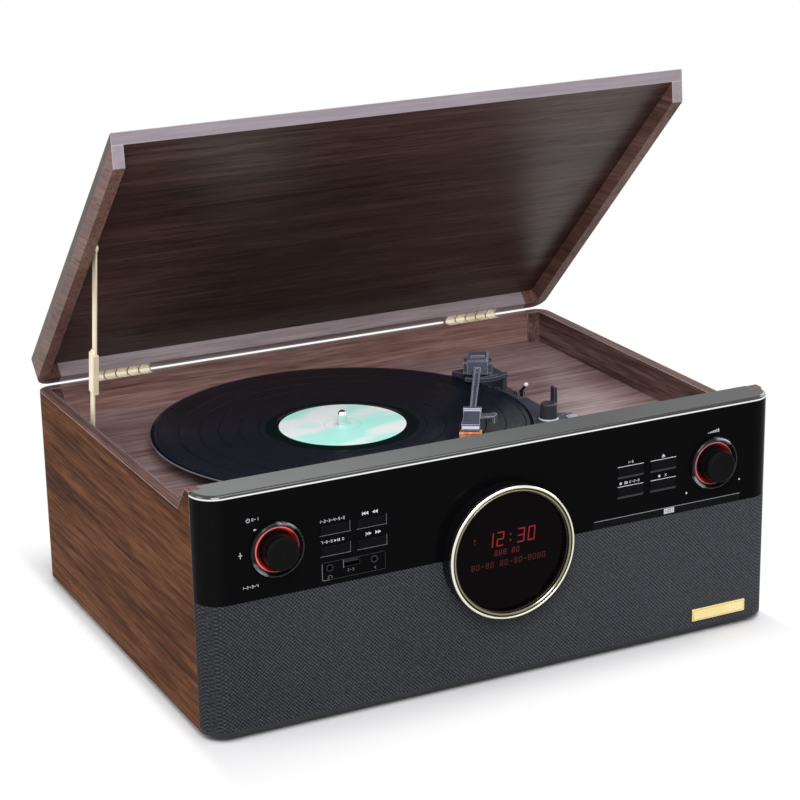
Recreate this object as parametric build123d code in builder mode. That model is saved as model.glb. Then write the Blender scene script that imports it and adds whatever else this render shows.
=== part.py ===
from build123d import *
from math import atan2, cos, hypot, radians, sin
import os

os.makedirs("parts", exist_ok=True)

# Stereo music centre: turntable, CD player and radio in one veneered case, with its lid raised.
# Millimetres, +Z up, +Y to the rear, origin on the ground under the middle of the case.
# A "depth" is measured back from the front face of the case.

# ---- case ----
case_width = 470
case_depth = 355
foot_height = 5
side_height = 160
wall = 9
rear_radius = 12
return_length = 20
fit_gap = 0.2
slope_top_depth = 26
slope_foot_depth = 43
base_thickness = 9
well_depth = 27
motor_board_thickness = 9
motor_board_depth = 19.3
foot_radius = 10
foot_inset = 34

# ---- lid ----
lid_height = 20
lid_board = 7
lid_gap = 0.5
lid_front_gap = 1.6
lid_angle = 45

# ---- butt hinges ----
hinge_length = 50
hinge_centre = 162
hinge_setback = 1.5
knuckle_radius = 2.5
knuckle_count = 5
knuckle_gap = 0.2
leaf_width = 8
leaf_thickness = 1
hinge_pin_radius = 1.2
pin_clearance = 0.05
barrel_relief = 0.35

# ---- lid stay ----
stay_width = 7.5
stay_thickness = 1.2
stay_sleeve_width = 10
stay_sleeve_length = 33
stay_sleeve_wall = 0.8
stay_plane_gap = 1.6
stay_pivot_depth = 252
stay_pivot_above_deck = 10
stay_lid_pivot_depth = 161
stay_lid_pivot_height = 7.5
stay_lower_length = 76
stay_upper_overlap = 24
stay_rivet_radius = 2
bracket_length = 18
bracket_width = 10
screw_head = 1.4
open_pivot_gap = 0.3

# ---- front ----
front_radius = 18
seam_depth = 19
cloth_height = 99
rim_height = 3
cloth_thickness = 1
frame_wall = 3
fascia_wall = 2.5
fascia_top_depth = 27
fascia_edge = 3.5
board_depth = 13
board_thickness = 1.6
board_height = 66
board_centre_height = 140
board_side_margin = 23
boss_radius = 3
boss_heights = (112, 168)
boss_inner_offset = 70
boss_outer_distance = 25.5

# ---- display ----
display_height = 100.6
display_radius = 51
display_proud = 14
display_wall = 5
ring_thickness = 3
glass_recess = 3
glass_thickness = 2
module_size = (66, 30)
hole_gap = 0.15

# ---- knobs ----
knob_side_distance = 55.5
knob_height = 134
knob_radius = 13
knob_proud = 12.5
bezel_radius = 20.25
bezel_proud = 3.5
bezel_bore = 16.8
light_ring_bore = 13.5
shaft_radius = 3
running_gap = 0.05
push_travel = 1

# ---- keys ----
key_width = 22
key_height = 6.4
key_proud = 0.8
key_travel = 0.8
key_gap = 0.2
key_knob_distance = 44.3
key_pitch = 28.4
key_rows = (140.8, 125.2)

# ---- front sockets ----
socket_panel_height = 109.65
socket_panel_size = (49.4, 13.7)
socket_panel_recess = 0.8
jack_bore = 1.8
jack_barrel = 2.9
jack_height = 111.8
jack_offsets = (-18.6, 16.1)
usb_height = 113
usb_offset = -1.5
usb_size = (13.2, 5.7)
usb_wall = 0.35

# ---- badge ----
badge_size = (48, 10)
badge_side_distance = 47.5
badge_height = 12.1
badge_thickness = 1.2

# ---- CD player ----
tray_front_width = 130
tray_front_height = 6.2
tray_front_thickness = 3
tray_width = 124
tray_thickness = 4
tray_length = 187
tray_end_bar = 2.2
tray_back_gap = 8
disc_radius = 60
disc_clearance = 0.8
tray_gap = 0.3
laser_window = 30
hub_window = 17
small_disc_radius = 40
disc_seat = 1.2
small_disc_seat = 1.9
disc_front_margin = 4
tray_lift = 0.8
mechanism_width = 140
mechanism_front = 52
mechanism_wall = 4
mechanism_side_gap = 16
mechanism_below = 16
mechanism_top_gap = 2
mechanism_post_radius = 4
mechanism_post_inset = 8
rail_front = 8

# ---- speakers ----
speaker_side_distance = 83
speaker_height = 52.5
speaker_radius = 42
speaker_opening = 36
speaker_length = 38

# ---- turntable ----
platter_x = -41
platter_depth = 187
record_radius = 150.5
record_thickness = 1.6
record_height = 13
platter_radius = 100
platter_web = 3.2
platter_clearance = 3
belt_ring_radius = 65
belt_height = 3.2
belt_thickness = 0.7
spindle_radius = 3.55
spindle_above_record = 12
label_radius = 50
label_land = 2
record_hole_gap = 0.07
bearing_radius = 6
bearing_flange = 12
bearing_length = 24
motor_distance = 80
motor_bearing_angle = 150
motor_radius = 17
motor_length = 24
pulley_radius = 5

# ---- tonearm ----
pivot_x = 110
pivot_depth = 244
stylus_x = 29.9
stylus_depth = 107.2
stylus_gap = 0.3
arm_height = 6.5
arm_tube_height = 4.8
arm_tube_width = 5.6
arm_tip_width = 4.6
arm_block_length = 26
arm_block_width = 17
arm_block_height = 12
cheek_thickness = 3
cheek_gap = 0.5
trunnion_radius = 1.5
head_length = 46
nose_length = 4.5
head_width = 13
base_plate_height = 4.5
base_plate_left = 18
base_plate_right = 21
base_plate_rear = 18
base_plate_tail = 26
tower_inset = 2
tower_front = 12
tower_rear = 16
tower_height = 16
tower_gap = 0.3
record_side_gap = 2
lift_radius = 24
lift_bar_width = 4
lift_bar_height = 2.8
lift_stem_radius = 2.5
lift_stem_below = 1
lift_gap = 0.5
lever_x = 127
lever_depth = 204
lever_length = 15
lever_lean = 45
rest_x = 117
rest_depth = 139
rest_radius = 7
selector_x = 136
selector_depth = 139
selector_travel = 8

# ---- rear connectors and inside ----
connector_plate = (112, 40)
connector_plate_thickness = 2
plate_land = 4
connector_side_distance = 140
connector_height = 50
phono_barrel = 4.1
phono_bore = 1.6
phono_length = 9
phono_bore_depth = 12.6
phono_back_length = 8
phono_pitch = 16
inlet_size = (20, 12)
inlet_depth = 13
inlet_distance = 32
inlet_pin_pitch = 8.6
inlet_pin_radius = 1.2
slot_bank_heights = (50, 110)
slot_pitch = 9
slot_count = 9
slot_length = 36
slot_width = 3

main_board_size = (130, 90)
main_board_distance = 58
standoff = 6
transformer_side_distance = 67
transformer_y = 40
transformer_core = (66, 28, 50)
transformer_coil = (42, 50, 28)
transformer_foot = (78, 34, 2)

# ---- places that follow from the sizes ----
half_width = case_width / 2
front_y = -case_depth / 2
rear_y = case_depth / 2
base_z = foot_height
side_z = base_z + side_height
top_z = side_z + lid_height
deck_z = side_z - well_depth
split_z = base_z + cloth_height
inner_x = half_width - wall
seam_y = front_y + seam_depth
hinge_y = rear_y + hinge_setback
hinge_z = side_z + lid_gap / 2
lid_tilt = radians(lid_angle)
knob_offset = half_width - knob_side_distance
key_columns = (knob_offset - key_knob_distance - key_pitch, knob_offset - key_knob_distance)
socket_panel_centre = (-sum(key_columns) / 2, socket_panel_height)
jack_positions = [(socket_panel_centre[0] + offset, jack_height) for offset in jack_offsets]
usb_position = (socket_panel_centre[0] + usb_offset, usb_height)
badge_centre = (half_width - badge_side_distance, badge_height)
tray_centre = inner_x - mechanism_side_gap - mechanism_width / 2
mechanism_length = tray_front_thickness + tray_length + tray_back_gap + mechanism_wall - mechanism_front
speaker_offset = half_width - speaker_side_distance
connector_centre = (connector_side_distance - half_width, connector_height)

# Front features are drawn on this plane: x to the right, y up, normal out of the front.
face_plane = Plane(origin=(0, front_y, base_z), x_dir=(1, 0, 0), z_dir=(0, -1, 0))
# The lid is drawn in its own frame at the hinge axis, tilted to the raised position.
lid_plane = Plane(origin=(0, hinge_y, hinge_z), x_dir=(1, 0, 0),
                  z_dir=(0, sin(lid_tilt), cos(lid_tilt)))
lid_section = Plane(origin=(0, hinge_y, hinge_z), x_dir=(0, cos(lid_tilt), -sin(lid_tilt)),
                    z_dir=(1, 0, 0))


def finish(piece, name):
    piece.part.label = name
    export_step(piece.part, f"parts/{name}.step")


def wall_plan(side, front, rear):
    """Plan of a side board from its front edge, round the rear corner, to its return."""
    corner = half_width - rear_radius
    with BuildSketch() as plan:
        with BuildLine():
            Line((side * half_width, front), (side * half_width, rear - rear_radius))
            TangentArc((side * half_width, rear - rear_radius), (side * corner, rear), tangent=(0, 1))
            Polyline((side * corner, rear), (side * (half_width - return_length), rear),
                     (side * (half_width - return_length), rear - wall),
                     (side * corner, rear - wall))
            TangentArc((side * corner, rear - wall), (side * inner_x, rear - rear_radius),
                       tangent=(side, 0))
            Polyline((side * inner_x, rear - rear_radius), (side * inner_x, front),
                     (side * half_width, front))
        make_face()
    return plan.sketch


def front_plan(inset):
    """Filled plan of the front with its rounded corners, inset from the outside."""
    side = half_width - inset
    front = front_y + inset
    radius = front_radius - inset
    with BuildSketch() as plan:
        with BuildLine():
            Line((-side, seam_y), (-side, front + radius))
            TangentArc((-side, front + radius), (radius - side, front), tangent=(0, -1))
            Line((radius - side, front), (side - radius, front))
            TangentArc((side - radius, front), (side, front + radius), tangent=(1, 0))
            Polyline((side, front + radius), (side, seam_y), (-side, seam_y))
        make_face()
    return plan.sketch


def block_plan(x_range, y_range):
    """Rectangle in plan between two x and two y places."""
    with BuildSketch() as plan:
        with Locations(((x_range[0] + x_range[1]) / 2, (y_range[0] + y_range[1]) / 2)):
            Rectangle(x_range[1] - x_range[0], y_range[1] - y_range[0])
    return plan.sketch


def front_turning(points, x, height):
    """Half section for a part turned about a front-to-back axis, from (depth, radius) points."""
    with BuildSketch(Plane.YZ.offset(x)) as profile:
        with BuildLine():
            Polyline([(front_y + depth, base_z + height + radius) for depth, radius in points],
                     close=True)
        make_face()
    return profile.sketch


def front_axis(x, height):
    return Axis((x, front_y, base_z + height), (0, 1, 0))


def upright_turning(points, x, y):
    """Half section for a part turned about an upright axis, from (radius, z) points."""
    with BuildSketch(Plane.XZ.offset(-y)) as profile:
        with BuildLine():
            Polyline([(x + radius, z) for radius, z in points], close=True)
        make_face()
    return profile.sketch


def upright_axis(x, y):
    return Axis((x, y, 0), (0, 0, 1))


# ================= wooden case =================

slope_run = slope_foot_depth - slope_top_depth
stay_pivot_y = front_y + stay_pivot_depth
stay_pivot_z = deck_z + stay_pivot_above_deck

for side, name in ((-1, "left_side_panel"), (1, "right_side_panel")):
    with BuildPart() as side_panel:
        with BuildSketch(Plane.XY.offset(base_z)):
            add(wall_plan(side, seam_y, rear_y))
        extrude(amount=top_z - base_z)
        # the lid sits in this step behind a sloped shoulder
        with BuildSketch(Plane.YZ):
            with BuildLine():
                Polyline((front_y + slope_top_depth, top_z), (front_y + slope_foot_depth, side_z),
                         (rear_y, side_z), (rear_y, top_z), close=True)
            make_face()
        extrude(amount=case_width, both=True, mode=Mode.SUBTRACT)
        if side < 0:
            with BuildSketch(Plane.YZ.offset(-inner_x)):
                with Locations((stay_pivot_y, stay_pivot_z)):
                    Circle(stay_rivet_radius + running_gap)
            extrude(amount=-wall / 2, mode=Mode.SUBTRACT)
    finish(side_panel, name)

back_half = half_width - return_length - fit_gap
back_inner_y = rear_y - wall
opening_half = (connector_plate[0] / 2 - plate_land, connector_plate[1] / 2 - plate_land)

with BuildPart() as back_panel:
    with BuildSketch(Plane.XY.offset(base_z)):
        add(block_plan((-back_half, back_half), (back_inner_y, rear_y)))
    extrude(amount=side_height)
    # rebates for the hinge leaves and barrels
    with BuildSketch(Plane.XY.offset(side_z)):
        with Locations((-hinge_centre, rear_y), (hinge_centre, rear_y)):
            Rectangle(hinge_length + 2 * fit_gap, 2 * (leaf_width + fit_gap))
    extrude(amount=-leaf_thickness, mode=Mode.SUBTRACT)
    for centre in (-hinge_centre, hinge_centre):
        with BuildSketch(Plane.YZ.offset(centre)):
            with Locations((hinge_y, hinge_z)):
                Circle(knuckle_radius + barrel_relief)
        extrude(amount=hinge_length / 2 + fit_gap, both=True, mode=Mode.SUBTRACT)
    # opening for the connector plate and two banks of air slots
    with BuildSketch(Plane.XZ.offset(-rear_y)):
        with Locations((connector_centre[0], base_z + connector_centre[1])):
            Rectangle(2 * opening_half[0], 2 * opening_half[1])
        for bank_height in slot_bank_heights:
            with Locations((-connector_centre[0], base_z + bank_height)):
                with GridLocations(slot_pitch, 1, slot_count, 1):
                    SlotOverall(slot_length, slot_width, rotation=90)
    extrude(amount=wall, mode=Mode.SUBTRACT)
    with BuildSketch(Plane.XZ.offset(-rear_y)):
        with Locations((connector_centre[0], base_z + connector_centre[1])):
            Rectangle(connector_plate[0] + 2 * fit_gap, connector_plate[1] + 2 * fit_gap)
    extrude(amount=connector_plate_thickness, mode=Mode.SUBTRACT)
finish(back_panel, "back_panel")

board_half = inner_x - fit_gap

with BuildPart() as base_board:
    with BuildSketch(Plane.XY.offset(base_z)):
        add(front_plan(cloth_thickness + frame_wall + fit_gap))
        add(block_plan((-board_half, board_half), (front_y, seam_y)), mode=Mode.INTERSECT)
        add(block_plan((-board_half, board_half), (seam_y, back_inner_y - fit_gap)))
    extrude(amount=base_thickness)
    fillet(base_board.edges().filter_by(Axis.Z).group_by(Axis.Y)[-1], rear_radius - wall + 1)
    with BuildSketch(Plane.XY.offset(base_z)):
        with GridLocations(2 * (half_width - foot_inset), case_depth - 2 * foot_inset, 2, 2):
            Circle(2)
    extrude(amount=base_thickness, mode=Mode.SUBTRACT)
finish(base_board, "base_board")

with BuildPart() as feet:
    with BuildSketch():
        with GridLocations(2 * (half_width - foot_inset), case_depth - 2 * foot_inset, 2, 2):
            Circle(foot_radius)
    extrude(amount=foot_height, taper=-6)
    with BuildSketch():
        with GridLocations(2 * (half_width - foot_inset), case_depth - 2 * foot_inset, 2, 2):
            Circle(4)
    extrude(amount=foot_height - 2, mode=Mode.SUBTRACT)
    fillet(feet.faces().group_by(Axis.Z)[0].edges().filter_by(lambda e: e.radius > 5), 0.8)
finish(feet, "feet")

platter_y = front_y + platter_depth
pivot_y = front_y + pivot_depth
motor_x = platter_x + motor_distance * cos(radians(motor_bearing_angle))
motor_y = platter_y + motor_distance * sin(radians(motor_bearing_angle))
lift_stem_angle = radians(-55)
lift_stem_x = pivot_x + lift_radius * cos(lift_stem_angle)
lift_stem_y = pivot_y + lift_radius * sin(lift_stem_angle)
board_under_z = deck_z - motor_board_thickness

with BuildPart() as motor_board:
    with BuildSketch(Plane.XY.offset(board_under_z)):
        add(block_plan((-board_half, board_half),
                       (front_y + motor_board_depth, back_inner_y - fit_gap)))
    extrude(amount=motor_board_thickness)
    fillet(motor_board.edges().filter_by(Axis.Z).group_by(Axis.Y)[-1], rear_radius - wall + 1)
    with BuildSketch(Plane.XY.offset(board_under_z)):
        with Locations((platter_x, platter_y)):
            Circle(bearing_radius + running_gap)
        with Locations((motor_x, motor_y)):
            Circle(pulley_radius - 1)
        with Locations((lift_stem_x, lift_stem_y)):
            Circle(lift_stem_radius + 0.5)
    extrude(amount=motor_board_thickness, mode=Mode.SUBTRACT)
finish(motor_board, "motor_board")

# ================= front =================

hole_radius = display_radius + hole_gap
key_places = [(side * column, row) for side in (-1, 1) for row in key_rows for column in key_columns]
tray_bottom = cloth_height + tray_gap
tray_opening = (tray_front_width + 2 * tray_gap, tray_front_height + 2 * tray_gap)
boss_columns = (knob_offset + boss_outer_distance, boss_inner_offset)
boss_places = [(side * x, height) for side in (-1, 1) for x in boss_columns for height in boss_heights]

with BuildPart() as fascia:
    with BuildSketch(Plane.XY.offset(split_z)):
        add(front_plan(0))
    extrude(amount=top_z - split_z)
    with BuildSketch(Plane.XY.offset(deck_z)):
        add(block_plan((-board_half, board_half), (seam_y, front_y + fascia_top_depth)))
    extrude(amount=top_z - deck_z)
    fillet(fascia.faces().sort_by(Axis.Z)[-1].edges().filter_by(
        lambda edge: edge.center().Y < seam_y - fit_gap), fascia_edge)
    # the moulding is a thin shell, open below and behind
    with BuildSketch(Plane.XY.offset(split_z)):
        add(front_plan(fascia_wall))
    extrude(amount=top_z - split_z - fascia_wall, mode=Mode.SUBTRACT)
    with BuildSketch(Plane.XY.offset(deck_z)):
        add(block_plan((fascia_wall - board_half, board_half - fascia_wall),
                       (seam_y - fascia_wall, front_y + fascia_top_depth - fascia_wall)))
    extrude(amount=top_z - deck_z - fascia_wall, mode=Mode.SUBTRACT)
    # bosses that carry the control board
    with BuildSketch(face_plane.offset(-fascia_wall)):
        with Locations(*boss_places):
            Circle(boss_radius)
    extrude(amount=fascia_wall - board_depth)
    # socket recess
    with BuildSketch(face_plane):
        with Locations(socket_panel_centre):
            RectangleRounded(*socket_panel_size, 1)
    extrude(amount=-socket_panel_recess, mode=Mode.SUBTRACT)
    # openings through the front wall
    with BuildSketch(face_plane):
        with Locations((0, display_height)):
            Circle(hole_radius)
        with Locations((-knob_offset, knob_height), (knob_offset, knob_height)):
            Circle(bezel_bore + 1 + hole_gap)
        with Locations(*key_places):
            RectangleRounded(key_width + 2 * key_gap, key_height + 2 * key_gap, 0.8)
        with Locations(*jack_positions):
            Circle(jack_barrel + running_gap)
        with Locations(usb_position):
            Rectangle(usb_size[0] + 2 * running_gap, usb_size[1] + 2 * running_gap)
        with Locations((tray_centre, cloth_height + tray_opening[1] / 2)):
            Rectangle(*tray_opening)
    extrude(amount=-2 * fascia_wall, mode=Mode.SUBTRACT)
finish(fascia, "fascia")

with BuildPart() as grille_frame:
    with BuildSketch(Plane.XY.offset(base_z)):
        add(front_plan(0))
    extrude(amount=rim_height)
    with BuildSketch(Plane.XY.offset(base_z)):
        add(front_plan(cloth_thickness))
    extrude(amount=cloth_height)
    with BuildSketch(Plane.XY.offset(base_z)):
        add(front_plan(cloth_thickness + frame_wall))
    extrude(amount=cloth_height, mode=Mode.SUBTRACT)
    with BuildSketch(face_plane):
        with Locations((0, display_height)):
            Circle(hole_radius)
        with Locations((-speaker_offset, speaker_height), (speaker_offset, speaker_height)):
            Circle(speaker_opening)
    extrude(amount=-seam_depth, mode=Mode.SUBTRACT)
finish(grille_frame, "grille_frame")

with BuildPart() as speaker_cloth:
    with BuildSketch(Plane.XY.offset(base_z + rim_height)):
        add(front_plan(0))
        add(front_plan(cloth_thickness), mode=Mode.SUBTRACT)
    extrude(amount=cloth_height - rim_height)
    with BuildSketch(face_plane):
        with Locations((0, display_height)):
            Circle(hole_radius)
    extrude(amount=-2 * cloth_thickness, mode=Mode.SUBTRACT)
finish(speaker_cloth, "speaker_cloth")

with BuildPart() as badge_plate:
    with BuildSketch(face_plane):
        with Locations(badge_centre):
            RectangleRounded(*badge_size, 0.6)
    extrude(amount=badge_thickness)
    chamfer(badge_plate.faces().sort_by(Axis.Y)[0].edges(), 0.3)
finish(badge_plate, "badge_plate")

# display: a drum through the front, a double gold ring, and a recessed glass
ring_inner = display_radius - display_wall + 0.6
drum_bore = display_radius - display_wall
ledge_radius = drum_bore - 3
drum_front = ring_thickness - display_proud
glass_front = drum_front + glass_recess
flange_depth = cloth_thickness + frame_wall

with BuildPart() as display_drum:
    add(revolve(front_turning(
        [(drum_front, drum_bore), (drum_front, display_radius), (flange_depth, display_radius),
         (flange_depth, display_radius + 3), (flange_depth + 2, display_radius + 3),
         (flange_depth + 2, ledge_radius), (glass_front + glass_thickness, ledge_radius),
         (glass_front + glass_thickness, drum_bore)],
        0, display_height), axis=front_axis(0, display_height)))
finish(display_drum, "display_drum")

with BuildPart() as display_ring:
    add(revolve(front_turning(
        [(drum_front, ring_inner), (drum_front, display_radius),
         (0.8 - display_proud, display_radius), (-display_proud, display_radius - 0.8),
         (-display_proud, display_radius - 1.6), (0.9 - display_proud, display_radius - 2.1),
         (0.9 - display_proud, display_radius - 2.7), (0.2 - display_proud, display_radius - 3.2),
         (0.2 - display_proud, ring_inner + 0.7), (0.8 - display_proud, ring_inner)],
        0, display_height), axis=front_axis(0, display_height)))
finish(display_ring, "display_ring")

with BuildPart() as display_glass:
    with BuildSketch(face_plane.offset(-glass_front)):
        with Locations((0, display_height)):
            Circle(drum_bore - hole_gap)
    extrude(amount=-glass_thickness)
finish(display_glass, "display_glass")

# dished bezels and lit rings round the knobs
with BuildPart() as knob_bezels:
    for x in (-knob_offset, knob_offset):
        add(revolve(front_turning(
            [(4, bezel_bore), (4, bezel_bore + 1), (0, bezel_bore + 1), (0, bezel_radius),
             (0.8 - bezel_proud, bezel_radius), (-bezel_proud, bezel_radius - 0.8),
             (-bezel_proud, bezel_radius - 1.4), (-1.6, bezel_bore + 0.3), (-1, bezel_bore)],
            x, knob_height), axis=front_axis(x, knob_height)))
finish(knob_bezels, "knob_bezels")

with BuildPart() as knob_light_rings:
    for x in (-knob_offset, knob_offset):
        add(revolve(front_turning(
            [(4, light_ring_bore), (4, bezel_bore - running_gap), (-1.4, bezel_bore - running_gap),
             (-1.6, bezel_bore - 0.6), (0.4, light_ring_bore)],
            x, knob_height), axis=front_axis(x, knob_height)))
finish(knob_light_rings, "knob_light_rings")

knob_back = 1
encoder_front = 6.5


def knob_profile(x, bore_depth):
    """Knob: slightly tapered drum with a dished face, bored for its shaft."""
    return front_turning(
        [(knob_back, shaft_radius + running_gap), (knob_back, knob_radius - 0.6),
         (knob_back - 0.6, knob_radius), (1.4 - knob_proud, knob_radius - 0.6),
         (0.4 - knob_proud, knob_radius - 1.2), (-knob_proud, knob_radius - 2.2),
         (0.3 - knob_proud, knob_radius - 3.4), (0.6 - knob_proud, 0),
         (bore_depth, 0), (bore_depth, shaft_radius + running_gap)],
        x, knob_height)


shaft_front = 4 - knob_proud
with BuildPart() as source_knob:
    add(revolve(knob_profile(-knob_offset, shaft_front - push_travel / 5),
                axis=front_axis(-knob_offset, knob_height)))
finish(source_knob, "source_knob")

with BuildPart() as source_knob_shaft:
    add(revolve(front_turning(
        [(shaft_front, 0), (shaft_front, shaft_radius), (knob_back + 0.4, shaft_radius),
         (knob_back + 0.4, shaft_radius + 1), (encoder_front - push_travel - 0.4, shaft_radius + 1),
         (encoder_front - push_travel - 0.4, shaft_radius),
         (board_depth - push_travel - 0.2, shaft_radius), (board_depth - push_travel - 0.2, 0)],
        -knob_offset, knob_height), axis=front_axis(-knob_offset, knob_height)))
finish(source_knob_shaft, "source_knob_shaft")

with BuildPart() as volume_knob:
    add(revolve(front_turning(
        [(board_depth - 0.4, 0), (board_depth - 0.4, shaft_radius), (knob_back, shaft_radius),
         (knob_back, knob_radius - 0.6), (knob_back - 0.6, knob_radius),
         (1.4 - knob_proud, knob_radius - 0.6), (0.4 - knob_proud, knob_radius - 1.2),
         (-knob_proud, knob_radius - 2.2), (0.3 - knob_proud, knob_radius - 3.4),
         (0.6 - knob_proud, 0)],
        knob_offset, knob_height), axis=front_axis(knob_offset, knob_height)))
finish(volume_knob, "volume_knob")

key_names = ("program_key", "previous_key", "scan_key", "next_key",
             "preset_key", "eject_key", "menu_key", "erase_key")
key_order = [(-key_columns[1], key_rows[0]), (-key_columns[0], key_rows[0]),
             (-key_columns[1], key_rows[1]), (-key_columns[0], key_rows[1]),
             (key_columns[0], key_rows[0]), (key_columns[1], key_rows[0]),
             (key_columns[0], key_rows[1]), (key_columns[1], key_rows[1])]
switch_front = 8.6
for name, place in zip(key_names, key_order):
    with BuildPart() as key:
        with BuildSketch(face_plane.offset(key_proud)):
            with Locations(place):
                RectangleRounded(key_width, key_height, 0.6)
        extrude(amount=-(key_proud + fascia_wall))
        chamfer(key.faces().sort_by(Axis.Y)[0].edges(), 0.35)
        with BuildSketch(face_plane.offset(-fascia_wall)):
            with Locations(place):
                Rectangle(key_width + 2, key_height + 2)
        extrude(amount=-1.2)
        with BuildSketch(face_plane.offset(-fascia_wall)):
            with Locations(place):
                Rectangle(4, 4)
        extrude(amount=fascia_wall + key_travel + 0.1 - switch_front)
    finish(key, name)

# control board behind the fascia, with encoders, key switches and the display module
display_module_front = glass_front + glass_thickness + 0.8
with BuildPart() as control_board:
    with BuildSketch(face_plane.offset(-board_depth)):
        with Locations((0, board_centre_height)):
            Rectangle(case_width - 2 * board_side_margin, board_height)
        with Locations((0, display_height)):
            Rectangle(module_size[0] + 18, module_size[1])
    extrude(amount=-board_thickness)
    with BuildSketch(face_plane.offset(-board_depth)):
        with Locations((-knob_offset, knob_height), (knob_offset, knob_height)):
            Rectangle(13, 13)
    extrude(amount=board_depth - encoder_front)
    with BuildSketch(face_plane.offset(-board_depth)):
        with Locations(*key_places):
            Rectangle(6, 6)
    extrude(amount=board_depth - switch_front)
    with BuildSketch(face_plane.offset(-board_depth)):
        with Locations((0, display_height)):
            Rectangle(*module_size)
    extrude(amount=board_depth - display_module_front)
    with BuildSketch(face_plane.offset(-encoder_front)):
        with Locations((-knob_offset, knob_height), (knob_offset, knob_height)):
            Circle(shaft_radius + running_gap)
    extrude(amount=encoder_front - board_depth, mode=Mode.SUBTRACT)
finish(control_board, "control_board")

with BuildPart() as jack_sockets:
    for x, height in jack_positions:
        add(revolve(front_turning(
            [(socket_panel_recess - 0.6, jack_bore), (socket_panel_recess - 0.6, jack_barrel),
             (fascia_wall, jack_barrel), (fascia_wall, jack_barrel + 1.3),
             (board_depth, jack_barrel + 1.3), (board_depth, 0), (board_depth - 1, 0),
             (board_depth - 1, jack_bore)],
            x, height), axis=front_axis(x, height)))
finish(jack_sockets, "jack_sockets")

with BuildPart() as usb_socket:
    with BuildSketch(face_plane.offset(-socket_panel_recess)):
        with Locations(usb_position):
            Rectangle(*usb_size)
    extrude(amount=socket_panel_recess - board_depth)
    with BuildSketch(face_plane.offset(-socket_panel_recess)):
        with Locations(usb_position):
            Rectangle(usb_size[0] - 2 * usb_wall, usb_size[1] - 2 * usb_wall)
    extrude(amount=socket_panel_recess + 1 - board_depth, mode=Mode.SUBTRACT)
    with BuildSketch(face_plane.offset(-socket_panel_recess - 0.6)):
        with Locations((usb_position[0], usb_position[1] + 1)):
            Rectangle(usb_size[0] - 2, 1.9)
    extrude(amount=socket_panel_recess + 0.6 - board_depth)
finish(usb_socket, "usb_socket")

# ================= CD player =================

tray_z = split_z + tray_lift
tray_y = front_y + tray_front_thickness
disc_y = tray_y + disc_radius + disc_clearance + disc_front_margin

with BuildPart() as cd_tray:
    with BuildSketch(face_plane):
        with Locations((tray_centre, tray_bottom + tray_front_height / 2)):
            Rectangle(tray_front_width, tray_front_height)
    extrude(amount=-tray_front_thickness)
    chamfer(cd_tray.faces().sort_by(Axis.Y)[0].edges(), 0.4)
    with BuildSketch(Plane.XY.offset(tray_z)):
        add(block_plan((tray_centre - tray_width / 2, tray_centre + tray_width / 2),
                       (tray_y, tray_y + tray_length)))
    extrude(amount=tray_thickness)
    # large and small disc seats
    for radius, seat in ((disc_radius + disc_clearance, disc_seat),
                         (small_disc_radius + disc_clearance, small_disc_seat)):
        with BuildSketch(Plane.XY.offset(tray_z + tray_thickness)):
            with Locations((tray_centre, disc_y)):
                Circle(radius)
        extrude(amount=-seat, mode=Mode.SUBTRACT)
    # window for the drive hub and the laser
    with BuildSketch(Plane.XY.offset(tray_z)):
        with Locations((tray_centre, disc_y)):
            Circle(hub_window)
        add(block_plan((tray_centre - laser_window / 2, tray_centre + laser_window / 2),
                       (disc_y, tray_y + tray_length - tray_end_bar)))
    extrude(amount=tray_thickness, mode=Mode.SUBTRACT)
finish(cd_tray, "cd_tray")

mechanism_y = front_y + mechanism_front
mechanism_bottom = tray_z - mechanism_below
mechanism_top = board_under_z - mechanism_top_gap
slot_half = tray_width / 2 + tray_gap
cheek_half = mechanism_width / 2

with BuildPart() as cd_mechanism:
    with BuildSketch(Plane.XY.offset(mechanism_bottom)):
        add(block_plan((tray_centre - cheek_half, tray_centre + cheek_half),
                       (mechanism_y, mechanism_y + mechanism_length)))
    extrude(amount=mechanism_top - mechanism_bottom)
    fillet(cd_mechanism.edges().filter_by(Axis.Z), 3)
    # guide cheeks reach forward beside the tray
    for side in (-1, 1):
        inner = tray_centre + side * slot_half
        outer = tray_centre + side * (slot_half + 3)
        with BuildSketch(Plane.XY.offset(tray_z - 3)):
            add(block_plan(sorted((inner, outer)), (front_y + rail_front, mechanism_y + 1)))
        extrude(amount=tray_thickness + 6)
        with BuildSketch(Plane.XY.offset(tray_z - 3)):
            add(block_plan(sorted((inner - side * 3, outer)),
                           (front_y + rail_front, mechanism_y + 1)))
        extrude(amount=3 - tray_gap)
    # tray passage, and the space that the disc and the lens work in
    with BuildSketch(Plane.XZ.offset(-mechanism_y)):
        with Locations((tray_centre, tray_z + tray_thickness / 2 + tray_gap / 2)):
            Rectangle(2 * slot_half, tray_thickness + 3 * tray_gap)
    extrude(amount=mechanism_wall - mechanism_length, mode=Mode.SUBTRACT)
    with BuildSketch(Plane.XZ.offset(-mechanism_y)):
        with Locations((tray_centre, tray_z + tray_thickness / 2)):
            Rectangle(2 * slot_half - 12, tray_thickness + 14)
    extrude(amount=mechanism_wall - mechanism_length, mode=Mode.SUBTRACT)
    # posts up to the motor board
    with BuildSketch(Plane.XY.offset(mechanism_top)):
        with Locations((tray_centre, mechanism_y + mechanism_length / 2)):
            with GridLocations(mechanism_width - 2 * mechanism_post_inset,
                               mechanism_length - 2 * mechanism_post_inset, 2, 2):
                Circle(mechanism_post_radius)
    extrude(amount=mechanism_top_gap)
finish(cd_mechanism, "cd_mechanism")

# ================= speakers and electronics =================

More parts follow.
